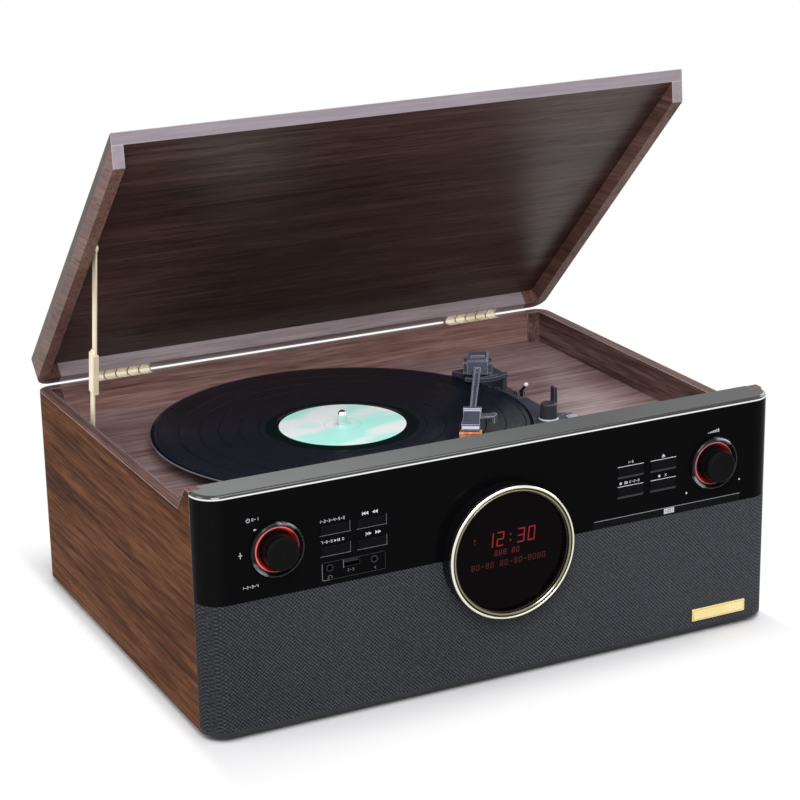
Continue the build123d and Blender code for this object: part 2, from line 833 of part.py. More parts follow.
with BuildPart() as speaker_drivers:
    back = flange_depth + speaker_length
    for x in (-speaker_offset, speaker_offset):
        add(revolve(front_turning(
            [(flange_depth, speaker_opening), (flange_depth, speaker_radius),
             (flange_depth + 2, speaker_radius), (flange_depth + 3, speaker_radius - 3),
             (back - 14, 19), (back - 14, 27), (back, 27), (back, 0), (flange_depth + 9, 0),
             (flange_depth + 10, 6), (flange_depth + 13, 10), (flange_depth + 5, 29),
             (flange_depth + 3.4, 31), (flange_depth + 3.4, 33)],
            x, speaker_height), axis=front_axis(x, speaker_height)))
finish(speaker_drivers, "speaker_drivers")

shelf_z = base_z + base_thickness
main_centre = (connector_centre[0], back_inner_y - main_board_distance)
with BuildPart() as main_circuit_board:
    with BuildSketch(Plane.XY.offset(shelf_z + standoff)):
        with Locations(main_centre):
            Rectangle(*main_board_size)
    extrude(amount=board_thickness)
    with BuildSketch(Plane.XY.offset(shelf_z)):
        with Locations(main_centre):
            with GridLocations(main_board_size[0] - 12, main_board_size[1] - 12, 2, 2):
                Circle(boss_radius)
    extrude(amount=standoff)
    board_top = shelf_z + standoff + board_thickness
    with BuildSketch(Plane.XY.offset(board_top)):
        with Locations((main_centre[0] + 38, main_centre[1] - 20)):
            with GridLocations(16, 16, 2, 2):
                Circle(6)
    extrude(amount=20)
    with BuildSketch(Plane.XY.offset(board_top)):
        with Locations((main_centre[0] - 20, main_centre[1] - 34)):
            Rectangle(60, 4)
            with GridLocations(8, 0, 7, 1):
                Rectangle(2, 14)
    extrude(amount=26)
    with BuildSketch(Plane.XY.offset(board_top)):
        with Locations((main_centre[0] - 26, main_centre[1] + 4)):
            Rectangle(18, 18)
        with Locations((main_centre[0] + 10, main_centre[1] + 10)):
            Rectangle(10, 16)
    extrude(amount=3)
finish(main_circuit_board, "main_circuit_board")

transformer_centre = (transformer_side_distance - half_width, transformer_y)
with BuildPart() as power_transformer:
    with BuildSketch(Plane.XY.offset(shelf_z)):
        with Locations(transformer_centre):
            Rectangle(transformer_core[0], transformer_foot[1])
            with GridLocations(transformer_foot[0], 0, 2, 1):
                SlotOverall(16, 10)
                Circle(2, mode=Mode.SUBTRACT)
    extrude(amount=transformer_foot[2])
    with BuildSketch(Plane.XY.offset(shelf_z)):
        with Locations(transformer_centre):
            Rectangle(transformer_core[0], transformer_core[1])
    extrude(amount=transformer_core[2])
    with BuildSketch(Plane.XY.offset(shelf_z + (transformer_core[2] - transformer_coil[2]) / 2)):
        with Locations(transformer_centre):
            RectangleRounded(transformer_coil[0], transformer_coil[1], 6)
    extrude(amount=transformer_coil[2])
finish(power_transformer, "power_transformer")

plate_plane = Plane(origin=(0, rear_y, base_z), x_dir=(-1, 0, 0), z_dir=(0, 1, 0))
phono_places = [(-connector_centre[0] + 14 + column * phono_pitch, connector_centre[1] + row)
                for column in (0, 1) for row in (-9, 9)]
inlet_place = (-connector_centre[0] - inlet_distance, connector_centre[1])
with BuildPart() as rear_connector_plate:
    with BuildSketch(plate_plane):
        with Locations((-connector_centre[0], connector_centre[1])):
            RectangleRounded(*connector_plate, 2)
    extrude(amount=-connector_plate_thickness)
    # mains inlet: a boxed pocket with two pins
    with BuildSketch(plate_plane.offset(-connector_plate_thickness)):
        with Locations(inlet_place):
            Rectangle(inlet_size[0] + 4, inlet_size[1] + 4)
    extrude(amount=connector_plate_thickness - inlet_depth - 3)
    with BuildSketch(plate_plane):
        with Locations(inlet_place):
            SlotOverall(*inlet_size)
    extrude(amount=-inlet_depth, mode=Mode.SUBTRACT)
    with BuildSketch(plate_plane.offset(-2)):
        with Locations(inlet_place):
            with GridLocations(inlet_pin_pitch, 0, 2, 1):
                Circle(inlet_pin_radius)
    extrude(amount=connector_plate_thickness - inlet_depth - 1)
    # four phono sockets
    with BuildSketch(plate_plane):
        with Locations(*phono_places):
            Circle(phono_barrel)
    extrude(amount=phono_length)
    with BuildSketch(plate_plane.offset(-connector_plate_thickness)):
        with Locations(*phono_places):
            Circle(phono_barrel + 1)
    extrude(amount=-phono_back_length)
    with BuildSketch(plate_plane.offset(phono_length)):
        with Locations(*phono_places):
            Circle(phono_bore)
    extrude(amount=-phono_bore_depth, mode=Mode.SUBTRACT)
finish(rear_connector_plate, "rear_connector_plate")

# ================= turntable =================

record_z = deck_z + record_height
record_under_z = record_z - record_thickness
platter_under_z = deck_z + platter_clearance
hub_z = deck_z + 2.5
belt_z = deck_z + platter_clearance + 0.4
web_z = record_under_z - platter_web

with BuildPart() as platter_bearing:
    add(revolve(upright_turning(
        [(spindle_radius - 0.5, deck_z - bearing_length + 3), (spindle_radius - 0.5, hub_z),
         (bearing_flange, hub_z), (bearing_flange, deck_z), (bearing_radius, deck_z),
         (bearing_radius, deck_z - bearing_length), (0, deck_z - bearing_length),
         (0, deck_z - bearing_length + 3)],
        platter_x, platter_y), axis=upright_axis(platter_x, platter_y)))
finish(platter_bearing, "platter_bearing")

spindle_top = record_z + spindle_above_record
with BuildPart() as spindle:
    add(revolve(upright_turning(
        [(0, deck_z - bearing_length + 3.1), (1, deck_z - bearing_length + 3.1),
         (spindle_radius - 0.5 - running_gap, deck_z - bearing_length + 4.2),
         (spindle_radius - 0.5 - running_gap, hub_z + 0.2), (spindle_radius, hub_z + 0.2),
         (spindle_radius, spindle_top - 3), (spindle_radius - 0.9, spindle_top - 1),
         (spindle_radius - 2.2, spindle_top - 0.2), (0, spindle_top)],
        platter_x, platter_y), axis=upright_axis(platter_x, platter_y)))
finish(spindle, "spindle")

with BuildPart() as platter:
    add(revolve(upright_turning(
        [(spindle_radius + running_gap, hub_z + 0.2), (11, hub_z + 0.2),
         (14, web_z), (belt_ring_radius - 3, web_z),
         (belt_ring_radius - 3, platter_under_z), (belt_ring_radius, platter_under_z),
         (belt_ring_radius, web_z), (platter_radius - 3, web_z),
         (platter_radius - 3, platter_under_z), (platter_radius - 0.8, platter_under_z),
         (platter_radius, platter_under_z + 0.8), (platter_radius, record_under_z - 1),
         (platter_radius - 1, record_under_z), (platter_radius - 6, record_under_z),
         (platter_radius - 7, record_under_z - 0.6), (label_radius + label_land + 1, record_under_z - 0.6),
         (label_radius + label_land, record_under_z), (spindle_radius + running_gap, record_under_z)],
        platter_x, platter_y), axis=upright_axis(platter_x, platter_y)))
finish(platter, "platter")

with BuildPart() as record:
    add(revolve(upright_turning(
        [(spindle_radius + record_hole_gap, record_under_z), (label_radius + label_land, record_under_z),
         (label_radius + 2 * label_land, record_under_z + 0.3), (record_radius - 6, record_under_z + 0.3),
         (record_radius - 3, record_under_z), (record_radius - 0.6, record_under_z + 0.1),
         (record_radius, record_z - record_thickness / 2), (record_radius - 0.6, record_z - 0.1),
         (record_radius - 3, record_z), (record_radius - 6, record_z - 0.3),
         (label_radius + 2 * label_land, record_z - 0.3), (label_radius + label_land, record_z),
         (spindle_radius + record_hole_gap, record_z)],
        platter_x, platter_y), axis=upright_axis(platter_x, platter_y)))
finish(record, "record")

with BuildPart() as turntable_motor:
    with BuildSketch(Plane.XY.offset(board_under_z)):
        with Locations((motor_x, motor_y)):
            Circle(motor_radius)
    extrude(amount=-motor_length)
    fillet(turntable_motor.edges().group_by(Axis.Z)[0], 2)
    with BuildSketch(Plane.XY.offset(board_under_z)):
        with Locations((motor_x, motor_y)):
            SlotOverall(2 * motor_radius + 22, 12)
    extrude(amount=-1.5)
    with BuildSketch(Plane.XY.offset(board_under_z)):
        with Locations((motor_x, motor_y)):
            Circle(1)
    extrude(amount=motor_board_thickness + platter_clearance + belt_height + 1)
finish(turntable_motor, "turntable_motor")

with BuildPart() as motor_pulley:
    add(revolve(upright_turning(
        [(1 + running_gap, belt_z - 0.8), (pulley_radius + 1.2, belt_z - 0.8),
         (pulley_radius + 1.2, belt_z - 0.4), (pulley_radius, belt_z - 0.1),
         (pulley_radius, belt_z + belt_height + 0.1), (pulley_radius + 1.2, belt_z + belt_height + 0.4),
         (pulley_radius + 1.2, belt_z + belt_height + 0.8), (1 + running_gap, belt_z + belt_height + 0.8)],
        motor_x, motor_y), axis=upright_axis(motor_x, motor_y)))
finish(motor_pulley, "motor_pulley")

belt_gap = 0.3
with BuildPart() as drive_belt:
    with BuildSketch(Plane.XY.offset(belt_z)):
        for spread, mode in ((belt_gap + belt_thickness, Mode.ADD), (belt_gap, Mode.SUBTRACT)):
            with BuildSketch(mode=Mode.PRIVATE) as loop:
                with Locations((platter_x, platter_y)):
                    Circle(belt_ring_radius + spread)
                with Locations((motor_x, motor_y)):
                    Circle(pulley_radius + spread)
                make_hull()
            add(loop.sketch, mode=mode)
    extrude(amount=belt_height)
finish(drive_belt, "drive_belt")

# ================= tonearm =================

stylus_y = front_y + stylus_depth
arm_angle = atan2(stylus_y - pivot_y, stylus_x - pivot_x)
arm_reach = hypot(stylus_x - pivot_x, stylus_y - pivot_y)
arm_along = (cos(arm_angle), sin(arm_angle), 0)
arm_left = (sin(arm_angle), -cos(arm_angle), 0)
tube_z = record_z + arm_height
arm_axis_z = tube_z + 4
plate_top_z = deck_z + base_plate_height
tower_z = deck_z + tower_height
rest_top_z = tube_z - lift_gap
rest_y = front_y + rest_depth
plate_left = pivot_x - base_plate_left
plate_right = pivot_x + base_plate_right
head_end = arm_reach + nose_length
head_start = head_end - head_length


def arm_plane(z):
    """Level plane at the pivot with its x along the arm towards the stylus."""
    return Plane(origin=(pivot_x, pivot_y, z), x_dir=arm_along, z_dir=(0, 0, 1))


def arm_side_plane(z):
    """Upright plane along the arm, with its x towards the stylus and its y up."""
    return Plane(origin=(pivot_x, pivot_y, z), x_dir=arm_along, z_dir=arm_left)


with BuildPart() as tonearm_base:
    # plate that follows the edge of the record from the tower to the arm rest
    with BuildSketch(Plane.XY.offset(deck_z)):
        with BuildLine():
            Polyline((plate_left, pivot_y + base_plate_rear), (plate_right, pivot_y + base_plate_rear),
                     (plate_right, rest_y + 14), (rest_x + base_plate_tail, rest_y + 8),
                     (rest_x + base_plate_tail, rest_y - 8), (rest_x, rest_y - 10),
                     (rest_x - 12, rest_y - 4), (plate_left, pivot_y - 40), close=True)
        make_face()
        with Locations((platter_x, platter_y)):
            Circle(record_radius - 6, mode=Mode.SUBTRACT)
    extrude(amount=base_plate_height)
    fillet(tonearm_base.edges().filter_by(Axis.Z), 2.5)
    chamfer(tonearm_base.faces().sort_by(Axis.Z)[-1].edges(), 0.8)
    # tower for the pivot, hollowed to clear the record
    with BuildSketch(Plane.XY.offset(plate_top_z - 1)):
        add(block_plan((plate_left + tower_inset, plate_right - tower_inset),
                       (pivot_y - tower_front, pivot_y + tower_rear)))
        with Locations((platter_x, platter_y)):
            Circle(record_radius + record_side_gap, mode=Mode.SUBTRACT)
    extrude(amount=tower_z - plate_top_z + 1)
    # clevis for the cue lever
    with BuildSketch(Plane.YZ.offset(lever_x)):
        with BuildLine():
            lever_y = front_y + lever_depth
            Polyline((lever_y - 4, plate_top_z - 1), (lever_y + 4, plate_top_z - 1),
                     (lever_y + 3, plate_top_z + 4.5), (lever_y - 3, plate_top_z + 4.5), close=True)
        make_face()
    extrude(amount=3.4, both=True)
    with BuildSketch(Plane.YZ.offset(lever_x)):
        with Locations((lever_y, plate_top_z + 3)):
            Rectangle(12, 8)
    extrude(amount=1.5, both=True, mode=Mode.SUBTRACT)
    # bores: arm pivot, lift stem, lever pin; slot for the selector
    with BuildSketch(Plane.XY.offset(tower_z)):
        with Locations((pivot_x, pivot_y)):
            Circle(3 + running_gap)
    extrude(amount=-11, mode=Mode.SUBTRACT)
    with BuildSketch(Plane.XY.offset(deck_z)):
        with Locations((lift_stem_x, lift_stem_y)):
            Circle(lift_stem_radius + running_gap)
    extrude(amount=base_plate_height, mode=Mode.SUBTRACT)
    with BuildSketch(Plane.YZ.offset(lever_x)):
        with Locations((lever_y, plate_top_z + 2)):
            Circle(0.8 + running_gap)
    extrude(amount=4, both=True, mode=Mode.SUBTRACT)
    with BuildSketch(Plane.XY.offset(deck_z + 1.5)):
        with Locations((selector_x, front_y + selector_depth)):
            Rectangle(5.2, 4 + selector_travel + 0.4)
    extrude(amount=base_plate_height, mode=Mode.SUBTRACT)
finish(tonearm_base, "tonearm_base")

with BuildPart() as arm_rest:
    add(revolve(upright_turning(
        [(0, plate_top_z), (rest_radius + 1, plate_top_z), (rest_radius + 1, plate_top_z + 1.4),
         (rest_radius, plate_top_z + 2), (rest_radius - 0.6, rest_top_z - 0.8),
         (rest_radius - 1.4, rest_top_z), (0, rest_top_z)],
        rest_x, rest_y), axis=upright_axis(rest_x, rest_y)))
    # hooked prong on the far side of the parked arm
    with BuildSketch(Plane.XZ.offset(3 - rest_y)):
        with BuildLine():
            Polyline((rest_x + 2.6, rest_top_z - 3), (rest_x + 6, rest_top_z - 3),
                     (rest_x + 6, rest_top_z + 12), (rest_x + 4.6, rest_top_z + 13),
                     (rest_x + 3.4, rest_top_z + 12), (rest_x + 3.2, rest_top_z + 1), close=True)
        make_face()
    extrude(amount=-6)
finish(arm_rest, "arm_rest")

cheek_inner = arm_block_width / 2 + cheek_gap
gimbal_z = tower_z + tower_gap
with BuildPart() as tonearm_gimbal:
    with BuildSketch(arm_plane(gimbal_z)):
        Circle(9)
        Rectangle(13, 2 * (cheek_inner + cheek_thickness))
    extrude(amount=1.6)
    with BuildSketch(arm_plane(gimbal_z)):
        Circle(3)
    extrude(amount=-10)
    for side in (-1, 1):
        with BuildSketch(arm_side_plane(gimbal_z).offset(side * cheek_inner)):
            with BuildLine():
                Polyline((-6.5, 0), (6.5, 0), (5, arm_axis_z - gimbal_z))
                ThreePointArc((5, arm_axis_z - gimbal_z), (0, arm_axis_z - gimbal_z + 5),
                              (-5, arm_axis_z - gimbal_z))
                Line((-5, arm_axis_z - gimbal_z), (-6.5, 0))
            make_face()
            with Locations((0, arm_axis_z - gimbal_z)):
                Circle(trunnion_radius + running_gap, mode=Mode.SUBTRACT)
        extrude(amount=side * cheek_thickness)
finish(tonearm_gimbal, "tonearm_gimbal")

block_z = tube_z - 1
block_front = arm_block_length / 2 - 1
with BuildPart() as tonearm_tube:
    # rear block with its weight inside, held between the cheeks by two trunnions
    with BuildSketch(arm_plane(block_z)):
        with Locations((-1, 0)):
            Rectangle(arm_block_length, arm_block_width)
    extrude(amount=arm_block_height)
    chamfer(tonearm_tube.faces().sort_by(Axis.Z)[-1].edges(), 1.2)
    with BuildSketch(arm_plane(block_z + arm_block_height)):
        with Locations((3, 0)):
            Rectangle(10, arm_block_width - 6)
    extrude(amount=-1.4, mode=Mode.SUBTRACT)
    with BuildSketch(arm_side_plane(arm_axis_z)):
        Circle(trunnion_radius)
    extrude(amount=cheek_inner + cheek_thickness - 0.2, both=True)
    # tapered channel, open upwards
    with BuildSketch(arm_plane(tube_z)):
        with BuildLine():
            Polyline((block_front - 1, -arm_tube_width / 2), (head_start + 4, -arm_tip_width / 2),
                     (head_start + 4, arm_tip_width / 2), (block_front - 1, arm_tube_width / 2),
                     close=True)
        make_face()
    extrude(amount=arm_tube_height)
    with BuildSketch(arm_plane(tube_z + arm_tube_height)):
        with BuildLine():
            Polyline((block_front + 3, 1.2 - arm_tube_width / 2), (head_start - 3, 1 - arm_tip_width / 2),
                     (head_start - 3, arm_tip_width / 2 - 1), (block_front + 3, arm_tube_width / 2 - 1.2),
                     close=True)
        make_face()
    extrude(amount=-3, mode=Mode.SUBTRACT)
finish(tonearm_tube, "tonearm_tube")

head_top_z = tube_z + arm_tube_height + 0.6
head_under_z = record_z + 4.6
with BuildPart() as headshell:
    # side outline: a hood that deepens towards the cartridge
    with BuildSketch(arm_side_plane(0)):
        with BuildLine():
            Polyline((head_start, head_top_z - 6.4), (head_start + 20, head_under_z),
                     (head_end - 4, head_under_z), (head_end, head_under_z + 2.4),
                     (head_end, head_top_z - 3), (head_end - 2, head_top_z - 2),
                     (head_end - 10, head_top_z - 1.2), (head_start + 8, head_top_z),
                     (head_start, head_top_z), close=True)
        make_face()
    extrude(amount=head_width / 2, both=True)
    chamfer(headshell.edges().filter_by(Axis.Z), 1)
    # bands across both ends
    for band_at, band_top in ((head_start + 4, head_top_z + 0.8), (head_end - 8, head_top_z - 0.4)):
        with BuildSketch(arm_plane(band_top)):
            with Locations((band_at, 0)):
                Rectangle(6, head_width + 1.2)
        extrude(amount=-4.6)
    # socket for the channel
    with BuildSketch(arm_plane(tube_z - 0.1)):
        with Locations((head_start + 2, 0)):
            Rectangle(4.2, arm_tip_width + 0.3)
    extrude(amount=arm_tube_height + 0.2, mode=Mode.SUBTRACT)
    # finger lift: a tongue to the right with its tip turned down
    with BuildSketch(arm_plane(head_top_z - 3)):
        with BuildLine():
            Polyline((head_start + 12, head_width / 2 - 1), (head_start + 20, head_width / 2 - 1),
                     (head_start + 17, head_width / 2 + 11), (head_start + 11, head_width / 2 + 13),
                     (head_start + 9, head_width / 2 + 11), close=True)
        make_face()
    extrude(amount=1.4)
    with BuildSketch(arm_plane(head_top_z - 1.6)):
        with BuildLine():
            Polyline((head_start + 17, head_width / 2 + 11), (head_start + 11, head_width / 2 + 13),
                     (head_start + 10.4, head_width / 2 + 11.8),
                     (head_start + 16.4, head_width / 2 + 9.8), close=True)
        make_face()
    extrude(amount=-6)
finish(headshell, "headshell")

stylus_tip_z = record_z + stylus_gap
with BuildPart() as stylus:
    # orange holder under the nose of the head, with its cantilever and tip
    with BuildSketch(arm_side_plane(0)):
        with BuildLine():
            Polyline((arm_reach - 9, head_under_z), (arm_reach - 8, record_z + 2.6),
                     (arm_reach + 2, record_z + 1.8), (arm_reach + 5.5, record_z + 3),
                     (arm_reach + 6.5, head_under_z + 2), (arm_reach + 4.9, head_under_z + 2.4),
                     (head_end + 0.1, head_under_z + 2.4), (head_end - 4, head_under_z), close=True)
        make_face()
    extrude(amount=head_width / 2 + 2, both=True)
    with BuildSketch(arm_plane(record_z + 2.6)):
        with Locations((arm_reach, 0)):
            Circle(0.9)
    extrude(amount=stylus_tip_z - record_z - 2.6, taper=16)
finish(stylus, "stylus")

with BuildPart() as cue_lift_bar:
    bar_z = tube_z - lift_gap - lift_bar_height
    bar_start, bar_end = arm_angle - radians(22), lift_stem_angle
    inner_radius = lift_radius - lift_bar_width / 2
    outer_radius = lift_radius + lift_bar_width / 2
    middle = (bar_start + bar_end) / 2
    with BuildSketch(Plane(origin=(pivot_x, pivot_y, bar_z))):
        with BuildLine():
            arc_ends = [[(radius * cos(angle), radius * sin(angle))
                         for angle in (bar_start, middle, bar_end)]
                        for radius in (inner_radius, outer_radius)]
            ThreePointArc(*arc_ends[0])
            ThreePointArc(*arc_ends[1])
            Line(arc_ends[0][0], arc_ends[1][0])
            Line(arc_ends[0][2], arc_ends[1][2])
        make_face()
        with Locations((lift_stem_x - pivot_x, lift_stem_y - pivot_y)):
            Circle(lift_stem_radius + 0.8)
    extrude(amount=lift_bar_height)
    with BuildSketch(Plane.XY.offset(bar_z)):
        with Locations((lift_stem_x, lift_stem_y)):
            Circle(lift_stem_radius)
    extrude(amount=board_under_z - lift_stem_below - bar_z)
finish(cue_lift_bar, "cue_lift_bar")

lever_z = plate_top_z + 2
lean = radians(lever_lean)
lever_tip = (lever_y - lever_length * sin(lean), lever_z + lever_length * cos(lean))
with BuildPart() as cue_lever:
    with BuildSketch(Plane.YZ.offset(lever_x)):
        with Locations((lever_y, lever_z)):
            Circle(2)
    extrude(amount=1.4, both=True)
    with BuildSketch(Plane.YZ.offset(lever_x)):
        with Locations((lever_y, lever_z)):
            Circle(0.8)
    extrude(amount=3.2, both=True)
    with BuildSketch(Plane(origin=(lever_x, lever_y, lever_z), z_dir=(0, -sin(lean), cos(lean)))):
        Circle(1.1)
    extrude(amount=lever_length)
    with Locations((lever_x, *lever_tip)):
        Sphere(1.9)
finish(cue_lever, "cue_lever")

selector_y = front_y + selector_depth
with BuildPart() as speed_selector:
    with BuildSketch(Plane.XY.offset(deck_z + 1.6)):
        with Locations((selector_x, selector_y - selector_travel / 2)):
            Rectangle(4.8, 4)
    extrude(amount=base_plate_height - 1.6)
    with BuildSketch(Plane.XY.offset(plate_top_z + 0.1)):
        with Locations((selector_x, selector_y - selector_travel / 2)):
            RectangleRounded(9, 7, 1)
    extrude(amount=1.4)
    with BuildSketch(Plane.XY.offset(plate_top_z)):
        with Locations((selector_x, selector_y - selector_travel / 2)):
            Rectangle(4.8, 4)
            with GridLocations(0, 2.2, 1, 3):
                Rectangle(7, 0.8)
    extrude(amount=2.1)
finish(speed_selector, "speed_selector")

# ================= lid, drawn in its own frame =================

lid_rear = -hinge_setback
lid_top = lid_height - lid_gap / 2
lid_under = lid_gap / 2
board_under = lid_top - lid_board
lid_front_top = front_y + slope_top_depth + lid_front_gap - hinge_y
lid_front_foot = front_y + slope_foot_depth + lid_front_gap - hinge_y
lid_slope = (lid_front_foot - lid_front_top) / lid_height


def lid_slope_cut():
    """Side view of what the sloped front takes off the lid."""
    reach = 2 * slope_run
    with BuildSketch() as plan:
        with BuildLine():
            Polyline((lid_front_top, lid_top), (lid_front_top + lid_slope * lid_top, 0),
                     (lid_front_top - reach, 0), (lid_front_top - reach, lid_top), close=True)
        make_face()
    return plan.sketch


with BuildPart() as lid_panel:
    with BuildSketch(lid_plane.offset(board_under)):
        add(block_plan((-half_width, half_width), (lid_front_top, lid_rear)))
    extrude(amount=lid_board)
    rear_edges = lid_panel.edges().filter_by(lambda edge: abs(edge.length - lid_board) < 0.01)
    fillet(rear_edges.sort_by(Axis.Y)[-2:], rear_radius)
    with BuildSketch(lid_section):
        add(lid_slope_cut())
    extrude(amount=case_width, both=True, mode=Mode.SUBTRACT)
finish(lid_panel, "lid_panel")

for side, name in ((-1, "lid_left_rail"), (1, "lid_right_rail")):
    with BuildPart() as lid_rail:
        with BuildSketch(lid_plane.offset(lid_under)):
            add(wall_plan(side, lid_front_top, lid_rear))
        extrude(amount=board_under - lid_under)
        with BuildSketch(lid_section):
            add(lid_slope_cut())
        extrude(amount=case_width, both=True, mode=Mode.SUBTRACT)
    finish(lid_rail, name)

with BuildPart() as lid_rear_rail:
    with BuildSketch(lid_plane.offset(lid_under)):
        add(block_plan((-back_half, back_half), (lid_rear - wall, lid_rear)))
    extrude(amount=board_under - lid_under)
    with BuildSketch(lid_plane.offset(lid_under)):
        with Locations((-hinge_centre, lid_rear), (hinge_centre, lid_rear)):
            Rectangle(hinge_length + 2 * fit_gap, 2 * (leaf_width + fit_gap))
    extrude(amount=leaf_thickness, mode=Mode.SUBTRACT)
    for centre in (-hinge_centre, hinge_centre):
        with BuildSketch(lid_section.offset(centre)):
            Circle(knuckle_radius + barrel_relief)
        extrude(amount=hinge_length / 2 + fit_gap, both=True, mode=Mode.SUBTRACT)
finish(lid_rear_rail, "lid_rear_rail")

knuckle_length = hinge_length / knuckle_count


def knuckle_offsets(first):
    """Centres of every other knuckle along the hinge, from the first one given."""
    return [(index + 0.5) * knuckle_length - hinge_length / 2
            for index in range(first, knuckle_count, 2)]


with BuildPart() as hinge_lower_leaves:
    for centre in (-hinge_centre, hinge_centre):
        with BuildSketch(Plane.XY.offset(side_z)):
            add(block_plan((centre - hinge_length / 2, centre + hinge_length / 2),
                           (rear_y - leaf_width, hinge_y)))
        extrude(amount=-leaf_thickness)
        for offset in knuckle_offsets(1):
            with BuildSketch(Plane.YZ.offset(centre + offset)):
                with Locations((hinge_y, hinge_z)):
                    Circle(knuckle_radius + barrel_relief)
            extrude(amount=knuckle_length / 2 + knuckle_gap / 2, both=True, mode=Mode.SUBTRACT)
        for offset in knuckle_offsets(0):
            with BuildSketch(Plane.YZ.offset(centre + offset)):
                with Locations((hinge_y, hinge_z)):
                    Circle(knuckle_radius)
            extrude(amount=knuckle_length / 2 - knuckle_gap / 2, both=True)
        with BuildSketch(Plane.YZ.offset(centre)):
            with Locations((hinge_y, hinge_z)):
                Circle(hinge_pin_radius)
        extrude(amount=hinge_length / 2 + 0.6, both=True)
finish(hinge_lower_leaves, "hinge_lower_leaves")

with BuildPart() as hinge_upper_leaves:
    for centre in (-hinge_centre, hinge_centre):
        with BuildSketch(lid_plane.offset(lid_under)):
            add(block_plan((centre - hinge_length / 2, centre + hinge_length / 2),
                           (lid_rear - leaf_width, 0)))
        extrude(amount=leaf_thickness)
        for offset in knuckle_offsets(0):
            with BuildSketch(lid_section.offset(centre + offset)):
                Circle(knuckle_radius + barrel_relief)
            extrude(amount=knuckle_length / 2 + knuckle_gap / 2, both=True, mode=Mode.SUBTRACT)
        for offset in knuckle_offsets(1):
            with BuildSketch(lid_section.offset(centre + offset)):
                Circle(knuckle_radius)
            extrude(amount=knuckle_length / 2 - knuckle_gap / 2, both=True)
        with BuildSketch(lid_section.offset(centre)):
            Circle(hinge_pin_radius + pin_clearance)
        extrude(amount=hinge_length, both=True, mode=Mode.SUBTRACT)
finish(hinge_upper_leaves, "hinge_upper_leaves")

# ================= lid stay =================

lid_pivot = (front_y + stay_lid_pivot_depth - hinge_y, stay_lid_pivot_height)
lid_pivot_y = hinge_y + lid_pivot[0] * cos(lid_tilt) + lid_pivot[1] * sin(lid_tilt)
lid_pivot_z = hinge_z - lid_pivot[0] * sin(lid_tilt) + lid_pivot[1] * cos(lid_tilt)
stay_length = hypot(lid_pivot_y - stay_pivot_y, lid_pivot_z - stay_pivot_z)
stay_angle = atan2(lid_pivot_z - stay_pivot_z, lid_pivot_y - stay_pivot_y)
stay_x = stay_plane_gap - inner_x


def stay_plane(x):
    """Upright plane along the stay, with its x from the case pivot to the lid pivot."""
    return Plane(origin=(x, stay_pivot_y, stay_pivot_z), x_dir=(0, cos(stay_angle), sin(stay_angle)),
                 z_dir=(1, 0, 0))


sleeve_start = stay_lower_length - stay_sleeve_length
with BuildPart() as stay_lower_strip:
    with BuildSketch(stay_plane(stay_x)):
        with Locations((stay_lower_length / 2, 0)):
            SlotOverall(stay_lower_length + stay_width, stay_width)
    extrude(amount=stay_thickness)
    # rivet into the side panel
    with BuildSketch(stay_plane(stay_x)):
        Circle(stay_rivet_radius)
    extrude(amount=-stay_plane_gap - wall / 2 + 0.5)
    with BuildSketch(stay_plane(stay_x)):
        Circle(stay_rivet_radius + 1.4)
    extrude(amount=-stay_plane_gap)
    # sleeve that the upper strip slides in
    with BuildSketch(stay_plane(stay_x - stay_sleeve_wall)):
        with Locations((sleeve_start + stay_sleeve_length / 2, 0)):
            Rectangle(stay_sleeve_length, stay_sleeve_width)
    extrude(amount=2 * stay_thickness + 2 * stay_sleeve_wall + 2 * fit_gap)
    with BuildSketch(stay_plane(stay_x + stay_thickness)):
        with Locations((sleeve_start + stay_sleeve_length / 2, 0)):
            Rectangle(stay_sleeve_length + 1, stay_width + 2 * fit_gap)
    extrude(amount=stay_thickness + 2 * fit_gap, mode=Mode.SUBTRACT)
finish(stay_lower_strip, "stay_lower_strip")

upper_x = stay_x + stay_thickness + fit_gap
upper_start = stay_lower_length - stay_upper_overlap
with BuildPart() as stay_upper_strip:
    with BuildSketch(stay_plane(upper_x)):
        with Locations(((upper_start + stay_length) / 2, 0)):
            SlotOverall(stay_length - upper_start + stay_width, stay_width)
    extrude(amount=stay_thickness)
    # domed screw head at the lid pivot
    with BuildSketch(stay_plane(upper_x + stay_thickness)):
        with Locations((stay_length, 0)):
            Circle(stay_rivet_radius + 1.6)
    extrude(amount=screw_head)
    fillet(stay_upper_strip.edges().group_by(Axis.X)[-1], 0.8)
finish(stay_upper_strip, "stay_upper_strip")

with BuildPart() as stay_lid_bracket:
    with BuildSketch(lid_section.offset(-inner_x)):
        with Locations(lid_pivot):
            SlotOverall(bracket_length, bracket_width)
    extrude(amount=stay_thickness)
    # boss that ends just short of the strip, so that the strip can pass it
    with BuildSketch(lid_section.offset(-inner_x)):
        with Locations(lid_pivot):
            Circle(stay_rivet_radius + 1)
    extrude(amount=upper_x + inner_x - open_pivot_gap)
finish(stay_lid_bracket, "stay_lid_bracket")
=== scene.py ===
import math

import bpy
import numpy as np
from mathutils import Matrix, Vector


